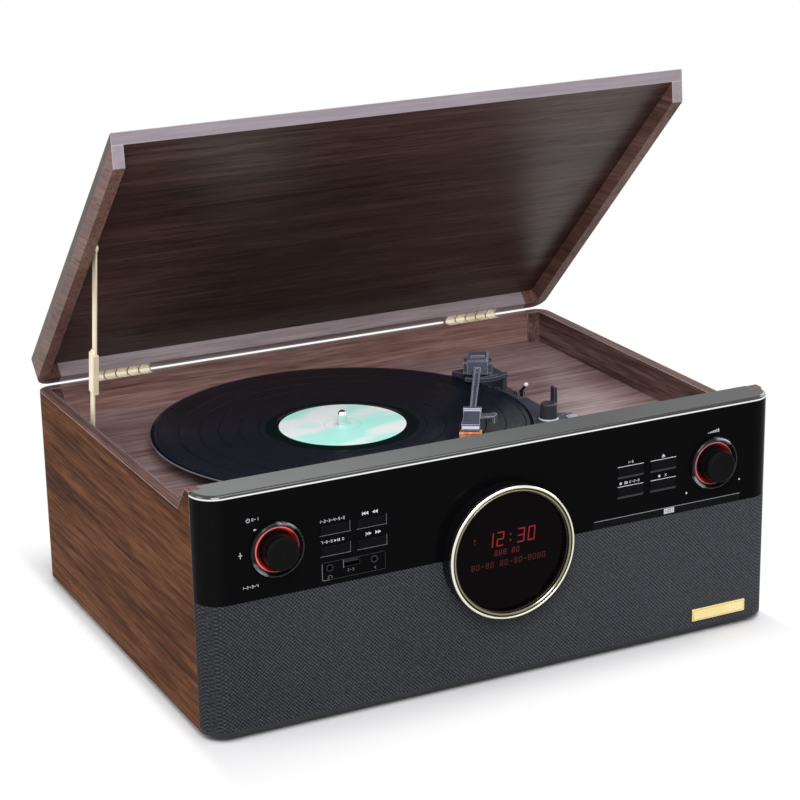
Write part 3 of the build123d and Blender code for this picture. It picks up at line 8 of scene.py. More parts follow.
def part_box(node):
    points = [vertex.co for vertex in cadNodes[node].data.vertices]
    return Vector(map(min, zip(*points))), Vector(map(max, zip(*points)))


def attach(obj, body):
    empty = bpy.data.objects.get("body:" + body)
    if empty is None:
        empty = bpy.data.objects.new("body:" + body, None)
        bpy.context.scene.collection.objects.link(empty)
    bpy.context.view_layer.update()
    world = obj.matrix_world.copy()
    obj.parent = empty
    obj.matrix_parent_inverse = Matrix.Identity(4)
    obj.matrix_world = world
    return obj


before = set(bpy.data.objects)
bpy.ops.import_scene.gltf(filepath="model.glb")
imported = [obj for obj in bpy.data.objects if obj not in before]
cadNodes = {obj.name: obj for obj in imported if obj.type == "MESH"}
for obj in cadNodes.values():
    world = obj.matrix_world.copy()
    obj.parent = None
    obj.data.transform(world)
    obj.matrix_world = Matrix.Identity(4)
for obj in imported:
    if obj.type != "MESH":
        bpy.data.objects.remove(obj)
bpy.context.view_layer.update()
print("frame loaded:", len(cadNodes), "nodes")

mm = 0.001
xAxis, yAxis, zAxis = np.eye(3)


def boxOf(node):
    low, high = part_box(node)
    return np.array(low), np.array(high)


def middleOf(node):
    low, high = boxOf(node)
    return (low + high) / 2


def pointsOf(node):
    return np.array([vertex.co for vertex in cadNodes[node].data.vertices])


class Wire:
    # one output of a shader node; Python's operators on it add Math nodes
    def __init__(self, wiring, socket):
        self.wiring = wiring
        self.socket = socket

    def maths(self, operation, *values):
        return self.wiring.node("ShaderNodeMath", {"operation": operation}, dict(enumerate(values)))

    def __add__(self, other):
        return self.maths("ADD", self, other)

    def __radd__(self, other):
        return self.maths("ADD", other, self)

    def __sub__(self, other):
        return self.maths("SUBTRACT", self, other)

    def __rsub__(self, other):
        return self.maths("SUBTRACT", other, self)

    def __mul__(self, other):
        return self.maths("MULTIPLY", self, other)

    def __rmul__(self, other):
        return self.maths("MULTIPLY", other, self)

    def __truediv__(self, other):
        return self.maths("DIVIDE", self, other)

    def __pow__(self, other):
        return self.maths("POWER", self, other)

    def __abs__(self):
        return self.maths("ABSOLUTE", self)

    def sine(self):
        return self.maths("SINE", self)

    def sign(self):
        return self.maths("SIGN", self)

    def most(self, other):
        return self.maths("MAXIMUM", self, other)

    def rise(self, low, high):
        # 0 below low, 1 above high, smooth between
        return self.wiring.node("ShaderNodeMapRange", {"interpolation_type": "SMOOTHSTEP"},
                                {"Value": self, "From Min": low, "From Max": high})

    def band(self, middle, half, soft):
        # 1 within half of the middle, falling to 0 over soft
        return 1 - abs(self - middle).rise(half, half + soft)


class Wiring:
    # a node tree, and the few ways in which this script adds to it
    def __init__(self, tree):
        self.tree = tree

    def node(self, kind, settings=None, inputs=None, output=0):
        made = self.tree.nodes.new(kind)
        for key, value in (settings or {}).items():
            if key == "stops":
                setStops(made.color_ramp, value)
            else:
                setattr(made, key, value)
        for key, value in (inputs or {}).items():
            self.connect(value, made.inputs[key])
        return Wire(self, made.outputs[output])

    def connect(self, value, socket):
        if isinstance(value, Wire):
            self.tree.links.new(value.socket, socket)
        elif isinstance(value, tuple) and len(value) == 3 and socket.type == "RGBA":
            socket.default_value = (*value, 1)
        else:
            socket.default_value = value

    def seenRays(self):
        # 1 for what the camera sees, also in gloss and through glass
        camera, gloss, through = (self.node("ShaderNodeLightPath", output=ray)
                                  for ray in ("Is Camera Ray", "Is Glossy Ray", "Is Transmission Ray"))
        return camera.most(gloss).most(through)

    def blendColour(self, mask, first, second):
        return self.node("ShaderNodeMix", {"data_type": "RGBA"}, {0: mask, 6: first, 7: second},
                         output=2)


class Finish(Wiring):
    # one material and its level of gloss, with a pattern's place read from Object coordinates
    def __init__(self, name, level, constants=None):
        self.material = bpy.data.materials.new(name)
        self.material.use_nodes = True
        super().__init__(self.material.node_tree)
        self.surface = self.tree.nodes["Principled BSDF"]
        self.place = self.node("ShaderNodeTexCoord", output="Object")
        self.feed("Specular IOR Level", level)
        for socket, value in (constants or {}).items():
            self.feed(socket, value)

    def feed(self, socket, value):
        self.connect(value, self.surface.inputs[socket])

    def paint(self, mask, first, second):
        self.feed("Base Color", self.blendColour(mask, first, second))

    def split(self, vector):
        parts = self.node("ShaderNodeSeparateXYZ", inputs={"Vector": vector}).socket.node
        return [Wire(self, parts.outputs[index]) for index in range(3)]

    def axes(self):
        return self.split(self.place)

    def facing(self):
        # how far the true surface points along x, y and z
        return self.split(self.node("ShaderNodeNewGeometry", output="True Normal"))

    def distance(self, middle, first, second):
        # how far a point lies from the middle, along two of the axes taken together
        places = self.axes()
        across, along = (places[axis] - middle[axis] for axis in (first, second))
        return (across * across + along * along) ** 0.5

    def stretched(self, scale):
        return self.node("ShaderNodeMapping", inputs={"Vector": self.place, "Scale": scale})

    def noise(self, scale, detail=2.0, roughness=0.5, vector=None):
        return self.node("ShaderNodeTexNoise", inputs={"Vector": vector or self.place, "Scale": scale,
                                                       "Detail": detail, "Roughness": roughness})

    def streaks(self, axis, along, across, detail, roughness=0.5):
        # noise drawn out along one axis, with so many changes a metre along it and across it
        scale = tuple(along if index == axis else across for index in range(3))
        return self.noise(1, detail, roughness, self.stretched(scale))

    def ramp(self, value, stops):
        return self.node("ShaderNodeValToRGB", {"stops": stops}, {"Fac": value})

    def softEdge(self, radius):
        return self.node("ShaderNodeBevel", {"samples": 6}, {"Radius": radius})

    def edges(self, radius):
        # 1 along an edge, 0 on a flat, from how far the rounded normal leaves the true one
        true = self.node("ShaderNodeNewGeometry", output="True Normal")
        match = self.node("ShaderNodeVectorMath", {"operation": "DOT_PRODUCT"},
                          {0: self.softEdge(radius), 1: true}, output="Value")
        return (1 - match).rise(0.01, 0.2)

    def relief(self, height, depth, edge=0.0):
        # bump of that depth in metres, over edges rounded by that radius
        inputs = {"Height": height, "Distance": depth}
        if edge:
            inputs["Normal"] = self.softEdge(edge)
        self.feed("Normal", self.node("ShaderNodeBump", inputs=inputs))


def setStops(ramp, stops):
    while len(ramp.elements) < len(stops):
        ramp.elements.new(1.0)
    for element, (place, colour) in zip(ramp.elements, stops):
        element.position = place
        element.color = (*colour, 1)


def dress(nodes, finish):
    for name in nodes:
        for slot in cadNodes[name].material_slots:
            slot.material = finish.material


def dressAll(finishes, finishOf):
    # a table's rows: the finish's name, then its values, and last the nodes that have it
    for name, (*values, nodes) in finishes.items():
        dress(nodes, finishOf(name, *values))


def shaded(colour, share):
    return tuple(min(share * part, 1) for part in colour)


# walnut veneer: how fine the grain is, and how strongly each part of it shows
veneer = {
    "bandsPerMetre": 50, "bandShare": 1.0,
    "fibresPerMetre": 330, "fibreShare": 1.5,
    "poresPerMetre": 700, "poreShare": 0.5,
    "alongPerMetre": 1.6, "driftShare": 0.7,
    "tonePlaces": (0.12, 0.5, 0.88),
    # tones for the outer faces: the same veneer as inside, painted browner as differently lit
    "outsideLitTones": ((0.036, 0.009, 0.002), (0.116, 0.040, 0.014), (0.205, 0.088, 0.042)),
    "wornAndLitEdge": 0.8 * mm, "roundedEdge": 0.5 * mm,
    # cut faces painted a pale lilac, a painted reflection, with a brighter painted highlight line along
    # their edges
    "cutSheen": (0.34, 0.295, 0.335), "cutHighlightLine": (0.80, 0.74, 0.80),
}
# each finish: dark, middle and light tone, grain axis, contrast, roughness, coat, nodes
veneerFinishes = {
    "walnutSides": ((0.055, 0.028, 0.024), (0.135, 0.078, 0.070), (0.230, 0.150, 0.140),
                    1, 1.2, 0.55, 0.0, ["left_side_panel", "right_side_panel"]),
    "walnutBack": ((0.100, 0.048, 0.041), (0.240, 0.130, 0.113), (0.370, 0.226, 0.203),
                   0, 1.0, 0.38, 0.15, ["back_panel"]),
    "walnutDeck": ((0.110, 0.062, 0.060), (0.265, 0.170, 0.170), (0.420, 0.310, 0.318),
                   0, 1.0, 0.33, 0.30, ["motor_board"]),
    # the lid board's inner face is painted dark, a painted shade; its outer faces take the outer tones
    "walnutLidBoard": ((0.022, 0.010, 0.008), (0.056, 0.028, 0.022), (0.110, 0.064, 0.054),
                       0, 0.8, 0.36, 0.25, ["lid_panel"]),
    "walnutLidSides": ((0.070, 0.034, 0.027), (0.165, 0.085, 0.068), (0.260, 0.150, 0.128),
                       1, 0.8, 0.40, 0.10, ["lid_left_rail", "lid_right_rail"]),
    # the lid's rear rail is painted a pale lilac, a painted sheen
    "walnutLidRear": ((0.200, 0.150, 0.160), (0.360, 0.290, 0.310), (0.500, 0.430, 0.460),
                      0, 0.6, 0.35, 0.30, ["lid_rear_rail"]),
}


def veneerFinish(name, dark, middle, light, axis, contrast, gloss, coat):
    made = Finish(name, 0.3 * coat + 0.03, {"Coat Roughness": 0.3})
    along = veneer["alongPerMetre"]
    drift = made.streaks(axis, 2.5, 8, 1)
    bands = made.streaks(axis, along, veneer["bandsPerMetre"], 3, 0.62)
    fibres = made.streaks(axis, 9 * along, veneer["fibresPerMetre"], 3, 0.7)
    pores = made.streaks(axis, 30, veneer["poresPerMetre"], 1).rise(0.58, 0.70)
    tone = ((bands - 0.5) * (veneer["bandShare"] * contrast)
            + (fibres - 0.5) * (veneer["fibreShare"] * contrast)
            + (drift - 0.5) * veneer["driftShare"] + 0.5)
    wood = made.ramp(tone, list(zip(veneer["tonePlaces"], (dark, middle, light))))
    # outer faces take the outer tones, a painted difference of light from the inner faces
    if name in outsideOf:
        outer = made.ramp(tone, list(zip(veneer["tonePlaces"], veneer["outsideLitTones"])))
        wood = made.blendColour(outsideOf[name](made), wood, outer)
    wood = made.blendColour(pores * veneer["poreShare"], wood, dark)
    # edges painted paler towards the cut tone, partly wear and partly a painted highlight
    edge = made.edges(veneer["wornAndLitEdge"])
    pale = edge * 0.35
    if name in cutOf:
        cut = cutOf[name](made)
        pale = pale.most(cut * ((fibres - 0.5) * 0.5 + 0.75))
    wood = made.blendColour(pale, wood, veneer["cutSheen"])
    if name in cutOf:
        wood = made.blendColour(edge * cut * 0.6, wood, veneer["cutHighlightLine"])
    made.feed("Base Color", wood)
    made.feed("Coat Weight", pale * 0.4 + coat)
    made.feed("Roughness", pores * 0.2 + (fibres - 0.5) * 0.12 + gloss)
    made.relief(fibres * 0.5 - pores * 0.5, 0.05 * mm, veneer["roundedEdge"])
    return made


def lidFrontPlane():
    # the plane of the open lid's front cut: through its furthest upper and lower edges, its
    # normal square to x and to the line between them; and how high the lid's top lies
    forward, above = np.array((0, -1, 1)) / math.sqrt(2), np.array((0, 1, 1)) / math.sqrt(2)
    points = pointsOf("lid_panel")
    reach, rise = points @ forward, points @ above
    tie = 0.001  # so small that it only chooses between points that are level
    cut = points[np.argmax(reach + tie * rise)] - points[np.argmax(tie * reach - rise)]
    normal = np.cross(xAxis, (0, cut[1], cut[2]))
    normal /= np.linalg.norm(normal)
    normal *= np.sign(normal @ forward)
    return normal, np.max(points @ normal), np.max(rise)


lidNormal, lidReach, lidTop = lidFrontPlane()
caseFaces = {"side": 227 * mm, "back": 176.6 * mm, "sideTop": 158 * mm}


def caseOutside(made):
    # the outer faces of the sides and the back, painted browner than the well: one veneer, its two tones
    # painted as differently lit
    x, y, _ = made.axes()
    side = abs(x).rise(caseFaces["side"], caseFaces["side"] + 1 * mm)
    return side.most(y.rise(caseFaces["back"], caseFaces["back"] + 0.5 * mm))


def lidOutside(made):
    _, y, z = made.axes()
    return ((y + z) / math.sqrt(2)).rise(lidTop - 0.8 * mm, lidTop - 0.4 * mm)


outsideOf = {"walnutSides": caseOutside, "walnutBack": caseOutside, "walnutLidBoard": lidOutside}


def lidFrontCut(made):
    _, y, z = made.axes()
    away = y * lidNormal[1] + z * lidNormal[2] - lidReach
    return away.rise(-0.5 * mm, -0.2 * mm)


def sideTopHighlights(made):
    # painted highlight: the upper faces a little, and a thin bright line along their edges
    top = made.axes()[2].rise(caseFaces["sideTop"], caseFaces["sideTop"] + 2 * mm)
    return (made.facing()[2].rise(0.6, 0.7) * 0.22).most(made.edges(0.9 * mm) * top)


# the faces that take the pale cut tone, a painted reflection
cutOf = {"walnutSides": sideTopHighlights, "walnutLidBoard": lidFrontCut, "walnutLidSides": lidFrontCut}
dressAll(veneerFinishes, veneerFinish)
print("veneer finished")

frontY, fasciaTop = boxOf("fascia")[0][1], boxOf("fascia")[1][2]

# the moulded front: gloss black, a grey top that is a painted reflection, lighter to the left, a white line
# along its rounded front edge that is a painted highlight, and polish on its rounded edges
frontPanel = {
    "black": (0.0028, 0.0028, 0.0032), "dust": (0.05, 0.05, 0.055),
    # the top's grey is a painted reflection, fading from left to right
    "topReflectionGrey": (0.200, 0.207, 0.204), "topReflectionFade": (0.112, 0.114, 0.114),
    "fadeFrom": -0.22, "fadeTo": 0.12,
    "filletHighlight": (0.92, 0.92, 0.92), "filletHighlightDepth": 2.75 * mm, "filletHighlightHalf": 0.35 * mm,
    "roundedFrom": 3.2 * mm, "roundedTo": 2.2 * mm, "corner": 217 * mm,
}


def frontPanelFinish():
    made = Finish("pianoBlack", 0.015, {"Coat Roughness": 0.08, "Coat IOR": 1.7})
    x, _, z = made.axes()
    up = made.facing()[2]
    onTop = up.rise(0.93, 0.99) * z.rise(fasciaTop - 1.2 * mm, fasciaTop - 0.4 * mm)
    rounded = z.rise(fasciaTop - frontPanel["roundedFrom"], fasciaTop - frontPanel["roundedTo"])
    corner = abs(x).rise(frontPanel["corner"], frontPanel["corner"] + 8 * mm) * 0.03
    haze, grain = made.noise(18), made.noise(2400)
    dust = made.noise(900).rise(0.66, 0.8)
    # the grey top, a painted reflection, lighter to the left
    fade = x.rise(frontPanel["fadeFrom"], frontPanel["fadeTo"])
    grey = made.blendColour(fade, frontPanel["topReflectionGrey"], frontPanel["topReflectionFade"])
    black = made.blendColour(dust * 0.12, frontPanel["black"], frontPanel["dust"])
    # a thin bright line along the rounded front edge, a painted highlight
    filletHighlight = z.band(fasciaTop - frontPanel["filletHighlightDepth"], frontPanel["filletHighlightHalf"], 0.3 * mm)
    filletHighlight = filletHighlight * (1 - up.rise(0.9, 0.95))
    panel = made.blendColour(onTop, black, grey)
    made.paint(filletHighlight, panel, frontPanel["filletHighlight"])
    made.feed("Metallic", filletHighlight)
    made.feed("Coat Weight", rounded.most(corner) * (1 - onTop))
    made.feed("Roughness", onTop * 0.3 + (haze - 0.5) * 0.05 + 0.16)
    made.relief(grain * onTop, 0.01 * mm, 0.4 * mm)
    return made


dress(["fascia"], frontPanelFinish())

# gloss blacks: colour, roughness, reflection level, edge radius in mm, edge polish (coat, and a grey
# painted highlight), nodes
lacquers = {
    "drumBlack": ((0.004, 0.004, 0.005), 0.10, 0.50, 0.5, 0.3, ["display_drum"]),
    "knobBlack": ((0.004, 0.004, 0.004), 0.20, 0.04, 0.5, 0.22, ["source_knob", "volume_knob"]),
    "keyBlack": ((0.004, 0.004, 0.005), 0.18, 0.03, 0.15, 0.15,
                 ["program_key", "previous_key", "scan_key", "next_key",
                  "preset_key", "eject_key", "menu_key", "erase_key"]),
    "trayBlack": ((0.004, 0.004, 0.005), 0.20, 0.04, 0.2, 0.3, ["cd_tray"]),
}
rimHighlight = (0.22, 0.22, 0.23)


def lacquerFinish(name, colour, roughness, level, edge, polish):
    made = Finish(name, level, {"Coat Roughness": 0.1})
    dust = made.noise(900).rise(0.66, 0.8)
    rim = made.edges(edge * mm)
    black = made.blendColour(dust * 0.2, colour, frontPanel["dust"])
    # edges painted grey, a painted highlight
    made.paint(rim * polish * 0.6, black, rimHighlight)
    made.feed("Roughness", (made.noise(18) - 0.5) * 0.05 + roughness)
    made.feed("Coat Weight", rim * polish)
    made.feed("Normal", made.softEdge(edge * mm))
    return made


dressAll(lacquers, lacquerFinish)

# the dished bezels round the knobs: gloss black, with grey painted highlights at two places and a grey
# painted highlight line along one side
bezel = {
    "black": (0.005, 0.005, 0.006), "bezelHighlight": (0.30, 0.32, 0.33), "line": (0.16, 0.17, 0.18),
    "highlightWays": (68, 222), "highlightFrom": 17.2 * mm, "highlightTo": 18.6 * mm,
    "highlightLineWay": -48, "edge": 0.45 * mm,
}


def fromKnob(made):
    # sideways and upwards from the nearer knob's middle, and the distance from it
    x, _, z = made.axes()
    knob = middleOf("volume_knob")
    across, height = (abs(x) - knob[0]) * x.sign(), z - knob[2]
    return across, height, (across * across + height * height) ** 0.5


def towards(place, degrees, low, high):
    # 1 where the direction from the knob's middle comes near the given one
    across, height, radius = place
    turn = math.radians(degrees)
    return ((across * math.cos(turn) + height * math.sin(turn)) / radius).rise(low, high)


def bezelFinish():
    made = Finish("bezelBlack", 0.2, {"Coat Roughness": 0.12})
    place = fromKnob(made)
    # grey patches at two places on the dish, painted highlights
    first, second = (towards(place, way, 0.90, 0.985) for way in bezel["highlightWays"])
    haze = made.noise(160)
    dish = place[2].rise(bezel["highlightFrom"], bezel["highlightTo"])
    bezelHighlight = first.most(second) * dish * haze.rise(0.30, 0.55)
    # a grey line along the edges on one side, a painted highlight
    line = towards(place, bezel["highlightLineWay"], -0.2, 0.3) * made.edges(bezel["edge"])
    grey = made.blendColour(line * 0.8, bezel["black"], bezel["line"])
    made.paint(bezelHighlight * 0.8, grey, bezel["bezelHighlight"])
    made.feed("Roughness", (haze - 0.5) * 0.05 + 0.14)
    made.feed("Coat Weight", line.most(bezelHighlight))
    made.feed("Normal", made.softEdge(bezel["edge"]))
    return made


dress(["knob_bezels"], bezelFinish())

# moulded parts: colour, edge colour (a painted highlight, near white on the arm), roughness, grain per
# metre, grain depth in mm, nodes
mouldings = {
    "frameBlack": ((0.016, 0.016, 0.018), (0.05, 0.05, 0.055), 0.5, 2600, 0.03,
                   ["grille_frame", "rear_connector_plate"]),
    "armPlastic": ((0.090, 0.097, 0.135), (0.84, 0.85, 0.98), 0.34, 2200, 0.01, ["tonearm_tube"]),
    "armHead": ((0.075, 0.081, 0.110), (0.84, 0.85, 0.98), 0.34, 2200, 0.01, ["headshell"]),
    "armDark": ((0.040, 0.044, 0.060), (0.42, 0.44, 0.54), 0.36, 2200, 0.01,
                ["tonearm_gimbal", "tonearm_base", "cue_lift_bar"]),
    "restDark": ((0.030, 0.033, 0.042), (0.30, 0.31, 0.36), 0.36, 2200, 0.01, ["arm_rest"]),
    "leverBlack": ((0.012, 0.012, 0.013), (0.10, 0.10, 0.11), 0.3, 1800, 0.01, ["cue_lever"]),
    "selectorGrey": ((0.26, 0.29, 0.34), (0.55, 0.58, 0.64), 0.25, 1800, 0.01, ["speed_selector"]),
    "rubberBlack": ((0.014, 0.014, 0.014), (0.03, 0.03, 0.03), 0.75, 1500, 0.05,
                    ["feet", "drive_belt"]),
    "coneBlack": ((0.025, 0.025, 0.025), (0.06, 0.06, 0.06), 0.6, 900, 0.1, ["speaker_drivers"]),
}

# light marks on the headshell, the lever and the arm rest; the arm runs from pivot to tip
marks = {
    "armPivot": np.array((110, 66.5, 0)) * mm, "armTip": np.array((29.9, -70.3, 0)) * mm,
    "rearBand": 7.2 * mm, "rearHalf": 2.4 * mm, "frontBand": 3.2 * mm, "frontHalf": 2.2 * mm,
    "tip": 3.2 * mm, "collar": 1.8 * mm, "collarHalf": 0.5 * mm, "soft": 0.3 * mm,
}


def headshellBands(made):
    # two pale bands across the headshell, near its back and its front
    way = marks["armTip"] - marks["armPivot"]
    way /= np.linalg.norm(way)
    reach = pointsOf("headshell") @ way
    x, y, _ = made.axes()
    along = x * way[0] + y * way[1]
    rear = along.band(np.min(reach) + marks["rearBand"], marks["rearHalf"], marks["soft"])
    front = along.band(np.max(reach) - marks["frontBand"], marks["frontHalf"], marks["soft"])
    return rear.most(front) * made.facing()[2].rise(0.3, 0.5)


def leverTip(made):
    tip = boxOf("cue_lever")[1][2] - marks["tip"]
    return made.axes()[2].rise(tip, tip + 0.4 * mm)


def restCollar(made):
    low = boxOf("arm_rest")[0][2]
    return made.axes()[2].band(low + marks["collar"], marks["collarHalf"], marks["soft"])


lightMarks = {
    "armHead": (headshellBands, (0.62, 0.63, 0.76)),
    "leverBlack": (leverTip, (0.85, 0.85, 0.86)),
    "restDark": (restCollar, (0.55, 0.56, 0.60)),
}


def mouldedFinish(name, colour, edgeHighlightColour, roughness, grain, depth):
    made = Finish(name, 0.3)
    speckle = made.noise(grain)
    shade = made.noise(45, 3)
    cloudy = made.blendColour(shade.rise(0.35, 0.75) * 0.6, colour, shaded(colour, 1.5))
    if name in lightMarks:
        mark, markColour = lightMarks[name]
        cloudy = made.blendColour(mark(made), cloudy, markColour)
    # edges painted lighter, a painted highlight
    made.paint(made.edges(0.7 * mm), cloudy, edgeHighlightColour)
    made.feed("Roughness", (speckle - 0.5) * 0.12 + roughness)
    made.relief(speckle, depth * mm, 0.3 * mm)
    return made


dressAll(mouldings, mouldedFinish)

# metals: colour, darker colour, roughness, brushed axis, nodes
metals = {
    "goldPlate": ((1.00, 0.83, 0.42), (0.95, 0.72, 0.30), 0.28, 0, ["badge_plate"]),
    "brassHinges": ((0.98, 0.91, 0.76), (0.72, 0.62, 0.46), 0.28, 0,
                    ["hinge_lower_leaves", "hinge_upper_leaves"]),
    "brassStay": ((1.00, 0.88, 0.66), (0.88, 0.72, 0.46), 0.30, 2,
                  ["stay_lower_strip", "stay_upper_strip"]),
    "bracketSteel": ((0.42, 0.38, 0.33), (0.26, 0.23, 0.20), 0.26, 2, ["stay_lid_bracket"]),
    "turnedBrass": ((0.72, 0.56, 0.28), (0.52, 0.38, 0.18), 0.3, 2,
                    ["motor_pulley", "platter_bearing"]),
    "brightSteel": ((0.86, 0.88, 0.88), (0.60, 0.62, 0.63), 0.12, 2,
                    ["spindle", "source_knob_shaft"]),
    "socketSteel": ((0.035, 0.035, 0.038), (0.02, 0.02, 0.022), 0.3, 1,
                    ["jack_sockets", "usb_socket"]),
    "platterAlloy": ((0.20, 0.20, 0.21), (0.12, 0.12, 0.13), 0.35, 2, ["platter"]),
    "pressedSteel": ((0.42, 0.43, 0.45), (0.30, 0.31, 0.32), 0.4, 0,
                     ["cd_mechanism", "power_transformer", "turntable_motor"]),
}
# how much of these is metal: they are lacquered, and so partly lit as paint is
softMetals = {"brassStay": 0.35, "brassHinges": 0.35}
hinge = {"inner": 137 * mm, "knuckle": 10 * mm, "gapShade": (0.05, 0.035, 0.02)}


def knuckleGapShade(made):
    # painted shade: a dark line wherever one knuckle of a hinge ends and the next starts
    turn = 2 * math.pi / hinge["knuckle"]
    phase = math.pi / 2 - turn * hinge["inner"]
    return (abs(made.axes()[0]) * turn + phase).sine().rise(0.90, 0.97)


def metalFinish(name, colour, darker, roughness, axis):
    made = Finish(name, 0.5, {"Metallic": softMetals.get(name, 1.0)})
    brushed = made.streaks(axis, 60, 3200, 2)
    cloudy = made.noise(70)
    tone = made.blendColour(cloudy.rise(0.4, 0.75) * 0.6, colour, darker)
    if name == "brassHinges":
        # dark lines between the knuckles, painted shade
        tone = made.blendColour(knuckleGapShade(made) * 0.8, tone, hinge["gapShade"])
    made.feed("Base Color", tone)
    made.feed("Roughness", (brushed - 0.5) * 0.12 + (cloudy - 0.5) * 0.08 + roughness)
    made.relief(brushed, 0.006 * mm, 0.2 * mm)
    return made


dressAll(metals, metalFinish)
print("lacquers, plastics and metals finished")

# the ring round the display: a pale outer bead that is a painted highlight, olive gold inside it, and a
# dark groove between them that is painted shade
ring = {
    "pale": (0.90, 0.89, 0.76), "olive": (0.26, 0.24, 0.16), "groove": (0.030, 0.028, 0.022),
    "grooveRadius": 48.6 * mm, "grooveHalf": 0.35 * mm, "beadRadius": 49.0 * mm, "soft": 0.2 * mm,
}


def ringFinish():
    made = Finish("goldRing", 0.5, {"Metallic": 1.0})
    radius = made.distance(middleOf("display_ring"), 0, 2)
    brushed = made.noise(900)
    outer = radius.rise(ring["beadRadius"] - ring["soft"], ring["beadRadius"] + ring["soft"])
    groove = radius.band(ring["grooveRadius"], ring["grooveHalf"], ring["soft"])
    # pale beyond the bead's edge and olive within: a painted highlight on the outer bead
    metal = made.blendColour(outer, ring["olive"], ring["pale"])
    # the groove painted dark, a painted shade
    made.paint(groove, metal, ring["groove"])
    made.feed("Roughness", (brushed - 0.5) * 0.1 + 0.16)
    made.relief(brushed, 0.004 * mm, 0.6 * mm)
    return made


dress(["display_ring"], ringFinish())

# circuit boards: green lacquer with tracks and pads worked out on a square grid
board = {"lacquer": (0.008, 0.060, 0.026), "track": (0.020, 0.120, 0.050),
         "pad": (0.55, 0.56, 0.52), "pitch": 5.08 * mm}
boards = {"controlBoardGreen": (0, 2, ["control_board"]),
          "mainBoardGreen": (0, 1, ["main_circuit_board"])}


def boardFinish(name, first, second):
    made = Finish(name, 0.5)
    places = made.axes()
    turn = 2 * math.pi / board["pitch"]
    waves = [(places[axis] * turn).sine() for axis in (first, second)]
    wander = made.noise(60, 1)
    tracks = abs(waves[0]).rise(0.9, 0.95) * wander.rise(0.45, 0.5)
    pads = (waves[0] * waves[1]).rise(0.90, 0.93)
    green = made.blendColour(tracks, board["lacquer"], board["track"])
    made.paint(pads, green, board["pad"])
    made.feed("Roughness", 0.42 - pads * 0.15)
    made.relief(tracks + pads, 0.04 * mm)
    return made


dressAll(boards, boardFinish)

# speaker cloth: two sets of threads on the slant, run round the rounded front corners, and painted lighter
# towards the right
cloth = {
    "dark": (0.012, 0.013, 0.016), "light": (0.066, 0.069, 0.078), "fleck": (0.100, 0.106, 0.122),
    "thread": 2.1 * mm, "depth": 0.25 * mm,
    "weaveShare": 0.85, "slubShare": 0.9, "patchShare": 0.2, "paintedLightToRight": 0.55, "base": 0.09,
}


def clothFinish():
    made = Finish("speakerCloth", 0.15, {"Roughness": 0.9})
    x, y, z = made.axes()
    run = x - x.sign() * (y - frontY)
    turn = 2 * math.pi / cloth["thread"] / math.sqrt(2)
    warp, weft = ((run + z) * turn).sine(), ((run - z) * turn).sine()
    slubs = made.noise(900)
    patches = made.noise(9, 3)
    weave = warp * 0.24 + weft * 0.24 + 0.5
    # the tone rises towards the right, painted light
    tone = (weave * cloth["weaveShare"] + (slubs - 0.5) * cloth["slubShare"]
            + (patches - 0.5) * cloth["patchShare"] + x * cloth["paintedLightToRight"] + cloth["base"])
    threads = made.ramp(tone, [(0.2, cloth["dark"]), (0.9, cloth["light"])])
    flecks = slubs.rise(0.62, 0.74) * 0.35
    made.paint(flecks, threads, cloth["fleck"])
    made.relief(weave + slubs * 0.3, cloth["depth"])
    return made


dress(["speaker_cloth"], clothFinish())

# the record: grooves in bands with a painted sheen, a smooth run-out, a painted highlight on its rim, and a
# paper label
record = {
    "labelRadius": 50 * mm, "runOut": 60 * mm, "grooveEnd": 146.5 * mm, "rimRadius": 149.3 * mm,
    "groove": 0.9 * mm, "depth": 0.10 * mm, "trackPitch": 15.5 * mm, "ringsPerMetre": 420,
    "vinyl": (0.0016, 0.0038, 0.0085), "sheen": (0.0055, 0.0105, 0.0210),
    "runOutTone": (0.004, 0.010, 0.010), "rim": (0.16, 0.16, 0.18),
    "label": (0.50, 1.00, 0.88), "labelPale": (0.96, 1.00, 1.00), "labelPrint": (0.16, 0.56, 0.50),
    "printRadius": 30 * mm, "printHalf": 12 * mm, "circleRadius": 14.5 * mm,
}


def labelPaper(made, radius):
    swirl = made.noise(1, vector=made.stretched((14, 26, 1)))
    paper = made.blendColour(swirl.rise(0.42, 0.56), record["label"], record["labelPale"])
    printed = swirl.rise(0.60, 0.66) * radius.band(record["printRadius"], record["printHalf"], 2 * mm)
    paper = made.blendColour(printed * 0.5, paper, record["label"])
    circleLine = radius.band(record["circleRadius"], 0.2 * mm, 0.3 * mm)
    for mask in (circleLine, 1 - radius.rise(4 * mm, 10 * mm)):
        paper = made.blendColour(mask * 0.35, paper, record["labelPrint"])
    return paper


